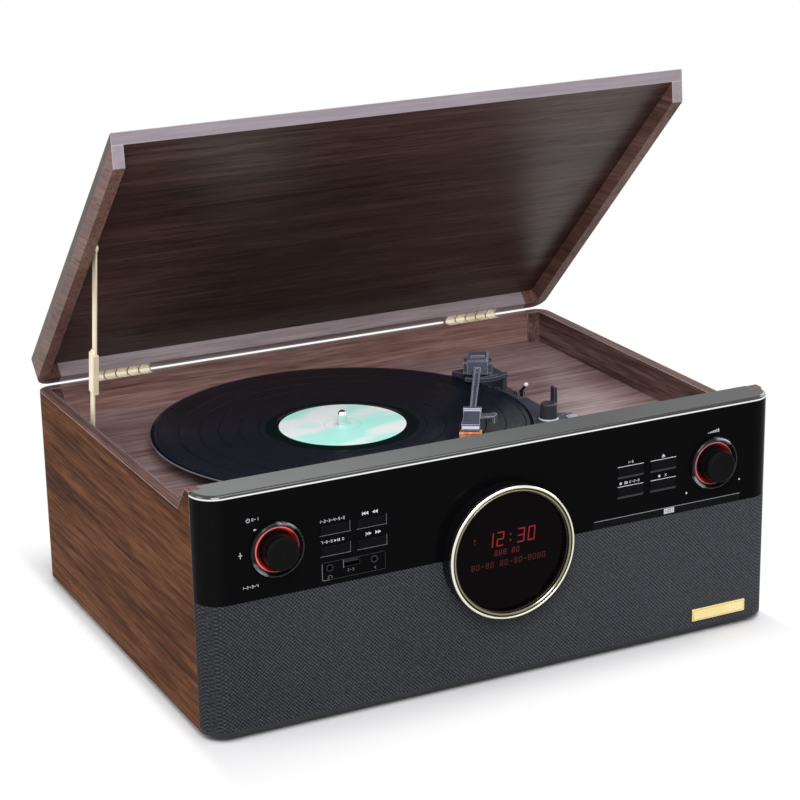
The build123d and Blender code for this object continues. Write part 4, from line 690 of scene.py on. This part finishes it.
def recordFinish():
    made = Finish("pressedVinyl", 0.3)
    radius = made.distance(middleOf("record"), 0, 1)
    high = boxOf("record")[1][2]
    top = made.axes()[2].rise(high - 0.9 * mm, high - 0.5 * mm)
    onLabel = (1 - radius.rise(record["labelRadius"] - 0.2 * mm, record["labelRadius"])) * top
    runOut = 1 - radius.rise(record["runOut"] - 1 * mm, record["runOut"] + 1 * mm)
    outside = radius.rise(record["grooveEnd"], record["grooveEnd"] + 0.8 * mm)
    grooved = (1 - runOut) * (1 - outside)
    alongRadius = made.node("ShaderNodeCombineXYZ", inputs={"X": radius})
    rings = made.noise(record["ringsPerMetre"], 3, vector=alongRadius)
    gaps = (radius * (2 * math.pi / record["trackPitch"])).sine().rise(0.965, 0.995)
    # lighter bands of rings, a painted sheen
    vinyl = made.blendColour(rings.rise(0.35, 0.7), record["vinyl"], record["sheen"])
    vinyl = made.blendColour(runOut, vinyl, record["runOutTone"])
    # a grey line along the record's rim, a painted highlight
    rim = radius.rise(record["rimRadius"], record["rimRadius"] + 0.6 * mm)
    vinyl = made.blendColour(rim * 0.6, vinyl, record["rim"])
    made.paint(onLabel, vinyl, labelPaper(made, radius))
    gloss = grooved * (rings * 0.12 + 0.12) + 0.14 - grooved * gaps * 0.1
    made.feed("Roughness", onLabel * 0.3 + gloss)
    grooves = (radius * (2 * math.pi / record["groove"])).sine()
    made.relief(grooves * grooved * (1 - gaps) + rings * grooved * 0.3, record["depth"])
    return made


dress(["record"], recordFinish())

# the display's smoked glass, nearly black
smoked = {"dark": (0.0020, 0.0011, 0.0013), "light": (0.0032, 0.0015, 0.0019)}
glass = Finish("smokedGlass", 0.03)
smear, tint = glass.noise(30), glass.noise(14)
glass.paint(tint, smoked["dark"], smoked["light"])
glass.feed("Roughness", smear * 0.05 + 0.05)
dress(["display_glass"], glass)

# the lit rings round the knobs: a thin pale rim, and glows that are weaker on the right; each
# glow has its direction, the cosines between which it rises, and its strength
litRing = {
    "rim": (0.62, 0.30, 0.29), "rimRight": (0.40, 0.27, 0.30), "rimRadius": 16.25 * mm,
    "rimHalf": 0.15 * mm, "innerRadius": 14.3 * mm,
    "bright": (0.62, 0.040, 0.028), "deep": (0.020, 0.0010, 0.0010), "body": (0.10, 0.005, 0.004),
    "glows": ((62, 0.90, 0.99, 0.9), (150, 0.85, 0.98, 0.75), (214, 0.88, 0.98, 1.0)),
    "widestWay": 148, "widestShare": 0.22, "rightLoss": 0.55,
}


def litRingFinish():
    made = Finish("litRed", 0.2, {"Base Color": litRing["body"], "Roughness": 0.25,
                                  "Emission Strength": 1.0})
    place = fromKnob(made)
    right = made.axes()[0].rise(-0.05, 0.05)
    strength = towards(place, litRing["widestWay"], -0.25, 0.9) * litRing["widestShare"]
    for way, low, high, share in litRing["glows"]:
        strength = strength.most(towards(place, way, low, high) * share)
    outward = place[2].rise(litRing["innerRadius"], litRing["rimRadius"])
    glow = outward * strength * (1 - right * litRing["rightLoss"])
    rimMask = place[2].band(litRing["rimRadius"], litRing["rimHalf"], 0.3 * mm)
    rimShare = towards(place, litRing["widestWay"], -0.6, 0.8) * 0.75 + 0.15
    rim = made.blendColour(right, litRing["rim"], litRing["rimRight"])
    colour = made.blendColour(glow, litRing["deep"], litRing["bright"])
    made.feed("Emission Color", made.blendColour(rimMask * rimShare, colour, rim))
    return made


dress(["knob_light_rings"], litRingFinish())

# the stylus: an orange body, whiter along its edges and in patches
stylus = {"orange": (0.90, 0.19, 0.02), "pale": (0.95, 0.62, 0.50)}


def stylusFinish():
    made = Finish("stylusOrange", 0.3)
    cloud = made.noise(260).rise(0.52, 0.62)
    pale = made.edges(0.6 * mm).most(cloud) * 0.6
    made.paint(pale, stylus["orange"], stylus["pale"])
    made.feed("Roughness", cloud * 0.1 + 0.25)
    return made


dress(["stylus"], stylusFinish())
print("cloth, record, glass and lit rings finished")


def added(name, data):
    made = bpy.data.objects.new(name, data)
    bpy.context.scene.collection.objects.link(made)
    return made


def meshFrom(name, vertices, faces, finish):
    mesh = bpy.data.meshes.new(name)
    mesh.from_pydata(np.asarray(vertices).tolist(), [], [list(face) for face in faces])
    mesh.materials.append(finish.material)
    return added(name, mesh)


def pieceFrom(name, vertices, faces, finish, body, slotName, smooth=False):
    made = meshFrom(name, vertices, faces, finish)
    made.data.polygons.foreach_set("use_smooth", np.full(len(faces), smooth))
    made.data.update()
    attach(made, body)


def slabs(outlines, place, right, up, out, thickness):
    # each flat outline, in millimetres, becomes a thin closed slab: its loop and a copy set
    # off by the thickness, a strip of quads between the two, and a cap on each
    vertices, faces = [], []
    for outline in outlines:
        loop = np.asarray(outline, float) * mm
        flat = place + loop[:, :1] * right + loop[:, 1:] * up
        start, count = len(vertices), len(loop)
        vertices += list(flat) + list(flat + out * thickness)
        area = np.sum(loop[:, 0] * np.roll(loop[:, 1], -1) - loop[:, 1] * np.roll(loop[:, 0], -1))
        turnsOut = area * np.dot(np.cross(right, up), out) > 0
        back = [start + index for index in reversed(range(count))]
        front = [start + count + index for index in range(count)]
        following = [(index + 1) % count for index in range(count)]
        sides = [(start + here, start + after, start + count + after, start + count + here)
                 for here, after in enumerate(following)]
        loops = [front, back, *sides]
        faces += loops if turnsOut else [list(reversed(face)) for face in loops]
    return np.array(vertices), faces


def turnings(profile, centres, axis, steps):
    # a profile of radius and height is carried round the axis through each centre: centre
    # + height * axis + radius * (cos * side + sin * other); where it starts and ends on the
    # axis its ends close in a fan, and otherwise its last ring joins its first
    side = np.cross(axis, (0.3, 0.5, 0.8))
    side /= np.linalg.norm(side)
    other = np.cross(axis, side)
    profile = np.array(profile, float) * mm
    angle = np.linspace(0, 2 * np.pi, steps, endpoint=False)
    outward = np.cos(angle)[:, None] * side + np.sin(angle)[:, None] * other
    closed = profile[0, 0] > 0
    inner = profile if closed else profile[1:-1]
    rows = len(inner)
    here = np.arange(steps)
    after = (here + 1) % steps
    vertices, faces = [], []
    for centre in centres:
        start = len(vertices)
        rings = centre + inner[:, None, 1:] * axis + inner[:, None, :1] * outward[None]
        vertices += list(rings.reshape(-1, 3))
        for row in range(rows if closed else rows - 1):
            low, high = start + row * steps, start + (row + 1) % rows * steps
            faces += np.stack([low + here, low + after, high + after, high + here], 1).tolist()
        if not closed:
            vertices += [centre + profile[0, 1] * axis, centre + profile[-1, 1] * axis]
            first, last, top = len(vertices) - 2, len(vertices) - 1, start + (rows - 1) * steps
            faces += [[first, start + there, start + this] for this, there in zip(here, after)]
            faces += [[last, top + this, top + there] for this, there in zip(here, after)]
    return np.array(vertices), faces


def circle(x, y, radius, steps):
    angle = np.linspace(0, 2 * np.pi, steps, endpoint=False)
    return np.stack([x + radius * np.cos(angle), y + radius * np.sin(angle)], 1)


def arc(x, y, radius, width, start, sweep, steps=16):
    # a curved stroke: the outer edge one way, the inner edge back
    angle = np.radians(start + np.linspace(0, sweep, steps))
    rim = np.stack([np.cos(angle), np.sin(angle)], 1)
    outer, inner = rim * (radius + width / 2), rim[::-1] * (radius - width / 2)
    return np.concatenate([outer, inner]) + (x, y)


def bar(x0, y0, x1, y1):
    return [(x0, y0), (x1, y0), (x1, y1), (x0, y1)]


def triangle(x, y, width, height):
    # points right for a positive width, left for a negative one
    return [(x, y - height / 2), (x + width, y), (x, y + height / 2)]


segmentsOf = {"0": "abcdef", "1": "bc", "2": "abged", "3": "abgcd", "4": "fgbc", "5": "afgcd",
              "6": "afgedc", "7": "abc", "8": "abcdefg", "9": "abcdfg", "-": "g", " ": ""}


def digitRow(text, x, y, width, height, pitch, stroke, lean=0.0):
    # digits of seven bars each, with a small gap where two bars meet
    half, gap = height / 2, 0.15 * stroke
    right, top = width - stroke, height - stroke
    bars = {
        "a": (gap, top, width - gap, height), "d": (gap, 0, width - gap, stroke),
        "g": (gap, half - stroke / 2, width - gap, half + stroke / 2),
        "f": (0, half + gap, stroke, height - gap), "e": (0, gap, stroke, half - gap),
        "b": (right, half + gap, width, height - gap), "c": (right, gap, width, half - gap),
    }
    outlines = []
    for index, character in enumerate(text):
        left = x + index * pitch
        for part in segmentsOf[character]:
            outlines.append([(left + px + lean * py, y + py) for px, py in bar(*bars[part])])
    return outlines


printed = {"thickness": 0.08 * mm, "white": (0.62, 0.62, 0.64), "grey": (0.15, 0.15, 0.16),
           "dim": (0.032, 0.032, 0.035), "unlit": (0.02, 0.001, 0.001)}


def printFinish(name, colour, glowing=0.0, unevenness=0.5):
    made = Finish(name, 0.2, {"Roughness": 0.5, "Emission Strength": glowing})
    worn = made.noise(1400).rise(0.5, 0.75) * unevenness
    uneven = made.blendColour(worn, colour, shaded(colour, 0.5))
    if glowing:
        made.feed("Base Color", printed["unlit"])
        made.feed("Emission Color", uneven)
    else:
        made.feed("Base Color", uneven)
    return made


whitePrint = printFinish("whitePrint", printed["white"])
greyPrint = printFinish("greyPrint", printed["grey"])
dimPrint = printFinish("dimPrint", printed["dim"])
facePlace = np.array((0, frontY, 0))


def printOn(name, outlines, finish, place=facePlace, body="case", slotName="knob_black",
            proud=printed["thickness"]):
    # thin print on a face that looks forwards
    pieceFrom(name, *slabs(outlines, place, xAxis, zAxis, -yAxis, proud), finish, body, slotName)


def placed(signsOf, rise=0.0):
    # outlines given from the middle of each node, and raised, come to their places on the front
    outlines = []
    for node, signs in signsOf.items():
        x, _, z = middleOf(node) / mm
        outlines += [np.asarray(outline) + (x, z + rise) for outline in signs]
    return outlines


def smallDigits(text, x, y):
    width, height, pitch, stroke = 1.25, 2.1, 1.85, 0.3
    return digitRow(text, x - pitch * len(text) / 2, y, width, height, pitch, stroke)


def skipSigns(way):
    # two triangles against a bar for a track, and two alone for winding
    side = -4.6 - 2.4 * (way < 0)
    left, right = ([triangle(x + shift, 1.2, way * 2.2, 2.6) for shift in (0, 2.2)] for x in (-4.4, 3.0))
    return [*left, bar(side, -0.1, side + 0.6, 2.5), *right]


# signs above the keys and round the knobs: plain digits, bars and the usual player symbols, in
# millimetres from a line above each key's middle, and from each knob's middle
signsRise = 5.6
keySigns = {
    "program_key": smallDigits("1-2-3-4-5-6", -1.6, 0),
    "scan_key": [*smallDigits("7-8-9", -6, 0), triangle(-0.6, 1, 2, 2), bar(2, 0, 2.6, 2),
                 bar(3.2, 0, 3.8, 2), *smallDigits("0", 6.6, 0)],
    "previous_key": skipSigns(-1),
    "next_key": skipSigns(1),
    "preset_key": smallDigits("1-9", 0, 0),
    "eject_key": [[(-1.5, 0.7), (1.5, 0.7), (0, 2.3)], bar(-1.5, -0.2, 1.5, 0.3)],
    "menu_key": [bar(-9.5, 0, -7.7, 1.8), *(bar(-5.5, y, -2.5, y + 0.4) for y in (0, 0.75, 1.5)),
                 *smallDigits("0-0-0", 3.6, 0)],
    "erase_key": [circle(-3.4, 1, 1, 16), [(1.2, 0), (1.6, 0), (3.4, 2), (3, 2)],
                  [(3, 0), (3.4, 0), (1.6, 2), (1.2, 2)]],
}
knobSigns = {
    "source_knob": [arc(-20.5, 24.6, 1.35, 0.36, 120, 300), bar(-20.68, 24.6, -20.32, 26.3),
                    *smallDigits("0-1", -15, 23.7), *smallDigits("1-2-3-4", -20.5, -25.4),
                    bar(-28.6, -0.25, -25.8, 0.25), bar(-27.45, -2.4, -26.95, 2.4),
                    bar(-16.8, 16.6, -14.6, 17.4)],
    "volume_knob": [*(bar(-5 + 1.5 * step, 24, -4.2 + 1.5 * step, 24.7 + 0.32 * step) for step in range(7)),
                    circle(24.2, -17.5, 0.7, 12), circle(-23.2, -20.2, 0.8, 12)],
}
printOn("printed_marks", placed(keySigns, signsRise) + placed(knobSigns), whitePrint)

# painted highlights as light lines on the edges of the keys: under and right of the left keys,
# along the top of the right keys, with a dimmer band below them that is a painted reflection
keyHighlights = {"halfWidth": 11.2, "halfHeight": 3.4, "gap": 0.4, "line": 0.4, "band": 1.5,
            "left": ("program_key", "previous_key", "scan_key", "next_key"),
            "right": ("preset_key", "eject_key", "menu_key", "erase_key")}


def printKeyHighlights():
    width, height, gap, line = (keyHighlights[size] for size in ("halfWidth", "halfHeight", "gap", "line"))
    under = [bar(-width - 0.3, -height - gap - line, width + 0.9, -height - gap),
             bar(width + 0.5, -height - gap, width + 0.5 + 0.8 * line, height + 0.6)]
    tops = [bar(-width, height + 0.3, width, height + 0.3 + 1.2 * line)]
    bands = [bar(-width, -height - gap - keyHighlights["band"], width, -height - gap)]
    printOn("key_highlights_left", placed(dict.fromkeys(keyHighlights["left"], under)), greyPrint)
    printOn("key_highlights_right", placed(dict.fromkeys(keyHighlights["right"], tops)), whitePrint)
    # the dim band under the right keys, a painted reflection
    printOn("key_reflections_right", placed(dict.fromkeys(keyHighlights["right"], bands)), dimPrint)


printKeyHighlights()

# a fine engraved frame on the gold plate
badge = {"inset": 1.1, "line": 0.3}
badgeLow, badgeHigh = boxOf("badge_plate")
badgeInk = metalFinish("engravedGold", (0.62, 0.44, 0.18), (0.50, 0.34, 0.12), 0.3, 0)


def badgeFrame():
    line = badge["line"]
    (left, _, low), (right, _, high) = badgeLow / mm + badge["inset"], badgeHigh / mm - badge["inset"]
    return [bar(left, low, right, low + line), bar(left, high - line, right, high),
            bar(left, low + line, left + line, high - line),
            bar(right - line, low + line, right, high - line)]


printOn("badge_frame", badgeFrame(), badgeInk, np.array((0, badgeLow[1], 0)), "case", "gold")

# the little panel round the sockets: a thin frame, brighter below and at the left as a painted highlight,
# and signs
panel = {"left": -145.8, "right": -96.4, "low": 107.9, "high": 121.5, "line": 0.3}


def printSocketPanel():
    left, right, low, high, line = panel.values()
    frameBars = [bar(left + 6, low, right, low + line), bar(left, high - line, right, high),
                 bar(right - line, low, right, high)]
    # these two bars, brighter than the rest of the frame, are a painted highlight
    signs = [bar(left, low, left + 1.6 * line, high - 1), bar(left, low, left + 6, low + 1.6 * line)]
    x, y = left + 6.2, low + 2
    signs += [arc(x, y, 1.5, 0.32, 0, 180), bar(x - 1.8, y - 0.9, x - 1.1, y + 0.4),
              bar(x + 1.1, y - 0.9, x + 1.8, y + 0.4)]
    signs += placed({"usb_socket": [bar(-6.9, -3.2, -6.4, 2.8), bar(-6.9, 3.1, 1.5, 3.5),
                                    *smallDigits("2-3", -0.8, -6.4)]})
    signs += smallDigits("4", right - 8, low + 1.4)
    printOn("socket_panel_signs", signs, greyPrint)
    printOn("socket_panel_frame", frameBars, dimPrint)


printSocketPanel()

# the small pale plate on the disc tray's front, with a plain ring on it, and a light line along
# the tray's top edge that is a painted highlight: the outlines, their tone, and how far they stand proud
trayFront = np.array((0, boxOf("cd_tray")[0][1], boxOf("cd_tray")[1][2]))
trayPrint = {
    "tray_plate": ([bar(136.5, -5.0, 145.5, -0.9)], "trayPlate", (0.52, 0.53, 0.55), 0.12),
    "tray_plate_ring": ([arc(141, -2.95, 1.25, 0.45, 0, 350, 24), bar(137.6, -3.2, 138.6, -2.7),
                         bar(143.4, -3.2, 144.4, -2.7)], "trayRing", (0.12, 0.12, 0.13), 0.18),
    # a painted highlight along the tray's top edge
    "tray_top_highlight": ([bar(75.6, -0.55, 204.4, -0.05)], "trayLine", (0.24, 0.24, 0.26), 0.10),
}
for name, (outlines, finish, tone, proud) in trayPrint.items():
    printOn(name, outlines, printFinish(finish, tone), trayFront, "disc_tray", proud=proud * mm)

# display: a lit time and two dim rows, each with its text, its place from the middle of the
# glass in millimetres, and its digits' width, height, pitch, stroke and lean
digits = {
    "time": ("12 30", -20, 5.0, 5.8, 11.0, 8.6, 0.95, 0.10), "colonHeights": (3.2, 7.8),
    "middle": ("888 80", -13, -2.0, 2.4, 4.2, 3.6, 0.5, 0.10),
    "low": ("80-80 80-80-8080", -32, -10.5, 2.5, 4.4, 3.9, 0.5, 0.10),
}


def printDisplay():
    glassPlace = middleOf("display_glass")
    glassPlace[1] = boxOf("display_glass")[0][1]
    _, left, low, _, _, pitch, _, _ = digits["time"]
    colon = [circle(left + 2 * pitch + 3.2, low + height, 0.65, 10) for height in digits["colonHeights"]]
    lamp = [circle(-29, 13, 0.8, 10), bar(-29.3, 9.5, -28.7, 12)]
    rows = {
        "display_time": (digitRow(*digits["time"]) + colon, "redDigits", (0.24, 0.010, 0.012), 0.7),
        "display_middle_row": (digitRow(*digits["middle"]), "dimDigits", (0.085, 0.004, 0.006), 0.9),
        "display_low_row": (digitRow(*digits["low"]) + lamp, "faintDigits", (0.050, 0.003, 0.004), 0.9),
    }
    for name, (outlines, finish, colour, unevenness) in rows.items():
        printOn(name, outlines, printFinish(finish, colour, 1.0, unevenness), glassPlace,
                slotName="lit_red")


printDisplay()
print("printing and digits made")

# screws: domed heads with a dark cross, painted shade for the recess, on the back, the socket plate and the
# stay's bracket
screwSteel = metalFinish("screwSteel", (0.50, 0.50, 0.52), (0.34, 0.34, 0.36), 0.3, 2)
# the dark cross stands for the recess's shade: painted shade
screwRecessShade = printFinish("screwRecessShade", (0.015, 0.015, 0.016))
# the head's profile, a low dome over a short rim, and its cross, as shares of its radius
screw = {
    "head": ((0, 0), (1, 0), (1, 0.25), (0.92, 0.42), (0.7, 0.56), (0.4, 0.62), (0, 0.64)),
    "arm": 0.55, "half": 0.11, "crossHeight": 0.60, "crossThickness": 0.07,
}


def screws(name, places, axis, right, up, radius, body):
    head = np.array(screw["head"]) * radius
    pieceFrom(name, *turnings(head, places, axis, 24), screwSteel, body, "steel", True)
    arm, half = screw["arm"] * radius, screw["half"] * radius
    crosses = [bar(-arm, -half, arm, half), bar(-half, -arm, half, arm)]
    vertices, faces = [], []
    for place in places:
        base = place + axis * screw["crossHeight"] * radius * mm
        more, moreFaces = slabs(crosses, base, right, up, axis, screw["crossThickness"] * radius * mm)
        faces += [[len(vertices) + index for index in face] for face in moreFaces]
        vertices += list(more)
    pieceFrom(name + "_crosses", vertices, faces, screwRecessShade, body, "rubber")


backY = boxOf("back_panel")[1][1]


def onBack(across, heights):
    return np.array([(x * mm, backY, z * mm) for x in across for z in heights])


backPlaces = onBack((-205, -70, 70, 205), (13, 157))
screws("back_screws", backPlaces, yAxis, -xAxis, zAxis, 3.2, "case")
platePlaces = onBack((-146.5, -43.5), (39.5, 70.5))
screws("socket_plate_screws", platePlaces, yAxis, -xAxis, zAxis, 2.2, "case")

# the stay's bracket under the lid: one screw each side of its pivot, along the lid's slope
bracket = {"face": -224.75 * mm, "apart": 6.0 * mm, "screw": 1.6}
slope = np.array((0, -1, 1)) / math.sqrt(2)
bracketMiddle = middleOf("stay_lid_bracket")
bracketMiddle[0] = bracket["face"]
bracketPlaces = [bracketMiddle + way * bracket["apart"] * slope for way in (-1, 1)]
screws("bracket_screws", bracketPlaces, xAxis, yAxis, zAxis, bracket["screw"], "lid")

# coloured collars round the phono sockets: red to the right, white to the left
phono = {"inner": 4.3, "outer": 6.0, "proud": 0.7, "rounded": 0.2, "heights": (46, 64),
         "red": (-125, (0.45, 0.02, 0.02)), "white": (-109, (0.70, 0.70, 0.68))}
inner, outer, proud, rounded = (phono[size] for size in ("inner", "outer", "proud", "rounded"))
collar = [(inner, 0), (outer, 0), (outer, proud - rounded), (outer - rounded, proud), (inner, proud)]
for side in ("red", "white"):
    x, colour = phono[side]
    name = "phono_collars_" + side
    finish = mouldedFinish(name, colour, shaded(colour, 1.3), 0.4, 1800, 0.01)
    collars = turnings(collar, onBack((x,), phono["heights"]), yAxis, 32)
    pieceFrom(name, *collars, finish, "case", "socket_metal", True)

rearPlace = np.array((0, backY, 0))
rearDigits = digitRow("1", 99.5, 44, 2.2, 4, 3, 0.5) + digitRow("2", 98.5, 62, 2.2, 4, 3, 0.5)
rearSigns = slabs(rearDigits, rearPlace, -xAxis, zAxis, yAxis, printed["thickness"])
pieceFrom("rear_signs", *rearSigns, whitePrint, "case", "knob_black")
print("screws and collars made")

view = {"place": (-0.75912, -1.5531, 0.73479), "turn": 26.19, "tilt": 18.18, "roll": -1.07,
        "focalPixels": 2322.2, "picture": 800, "sensor": 36.0}


def setCamera():
    turn, tilt, roll = (math.radians(view[key]) for key in ("turn", "tilt", "roll"))
    forward = Vector((math.sin(turn) * math.cos(tilt), math.cos(turn) * math.cos(tilt), -math.sin(tilt)))
    side = Vector((math.cos(turn), -math.sin(turn), 0))
    above = side.cross(forward)
    right = math.cos(roll) * side + math.sin(roll) * above
    up = math.cos(roll) * above - math.sin(roll) * side
    camera = bpy.data.cameras.new("camera")
    camera.sensor_width = view["sensor"]
    camera.lens = view["sensor"] * view["focalPixels"] / view["picture"]
    camera.clip_end = 20
    holder = added("camera", camera)
    turned = Matrix((right, up, -forward)).transposed().to_4x4()
    holder.matrix_world = Matrix.Translation(view["place"]) @ turned
    bpy.context.scene.camera = holder


setCamera()

# lamps: place, aimed at, size, power
lamps = {
    "softboxAbove": ((0.3, -0.7, 2.0), (0.0, -0.1, 0.18), (1.6, 0.8), 9),
    "softboxFront": ((-0.7, -1.7, 1.75), (-0.1, 0.1, 0.13), (1.2, 1.0), 36),
    "softboxLeft": ((-1.7, 0.1, 1.3), (-0.1, 0, 0.12), (1.0, 1.0), 8),
    "softboxBehind": ((0.9, 1.5, 1.6), (0, 0, 0.1), (1.4, 1.2), 9),
    "softboxRight": ((1.7, 0.25, 0.85), (-0.1, 0, 0.15), (1.3, 0.9), 8),
}


def setLamps():
    for name, (place, aim, size, power) in lamps.items():
        lamp = bpy.data.lights.new(name, "AREA")
        lamp.shape = "RECTANGLE"
        lamp.size, lamp.size_y = size
        lamp.energy = power
        turned = (Vector(aim) - Vector(place)).to_track_quat("-Z", "Y").to_matrix().to_4x4()
        added(name, lamp).matrix_world = Matrix.Translation(place) @ turned


setLamps()

# the world is plain grey light, and white to the camera, in gloss and through glass
surround = {"ambient": (0.42, 0.42, 0.43), "white": (1.0, 1.0, 1.0)}


def setWorld():
    world = bpy.data.worlds.new("studio")
    bpy.context.scene.world = world
    world.use_nodes = True
    sky = Wiring(world.node_tree)
    light = sky.blendColour(sky.seenRays(), surround["ambient"], surround["white"])
    sky.connect(light, world.node_tree.nodes["Background"].inputs["Color"])


setWorld()

# the floor shows its shadow near the object and is white to the camera further away: sooner
# beside the object than before it, and sooner to the right
floor = {
    "half": 6.0, "colour": (0.80, 0.80, 0.81), "caseHalfWidth": 0.235, "caseHalfDepth": 0.178,
    "fadeTo": 0.055, "besideShare": 7, "rightShare": 1.6, "leftShare": 0.5,
}


def setFloor():
    made = Finish("paleFloor", 0.0, {"Base Color": floor["colour"], "Roughness": 0.8})
    x, y, _ = made.axes()
    beside = (abs(x) - floor["caseHalfWidth"]).most(0.0) * floor["besideShare"]
    before = (abs(y) - floor["caseHalfDepth"]).most(0.0)
    share = (x * floor["rightShare"] + 1).most(floor["leftShare"])
    away = (beside * beside + before * before) ** 0.5 * share
    white = made.node("ShaderNodeEmission", inputs={"Color": (1, 1, 1)})
    faded = made.node("ShaderNodeMixShader",
                      inputs={0: made.seenRays() * away.rise(0.0, floor["fadeTo"]),
                              1: Wire(made, made.surface.outputs[0]), 2: white})
    made.connect(faded, made.tree.nodes["Material Output"].inputs["Surface"])
    half = floor["half"]
    corners = [(x, y, 0) for x, y in bar(-half, -half, half, half)]
    piece = meshFrom("floor", corners, [(0, 1, 2, 3)], made)


setFloor()
bpy.context.scene.view_settings.view_transform = "Standard"
print("camera, lamps and floor set")
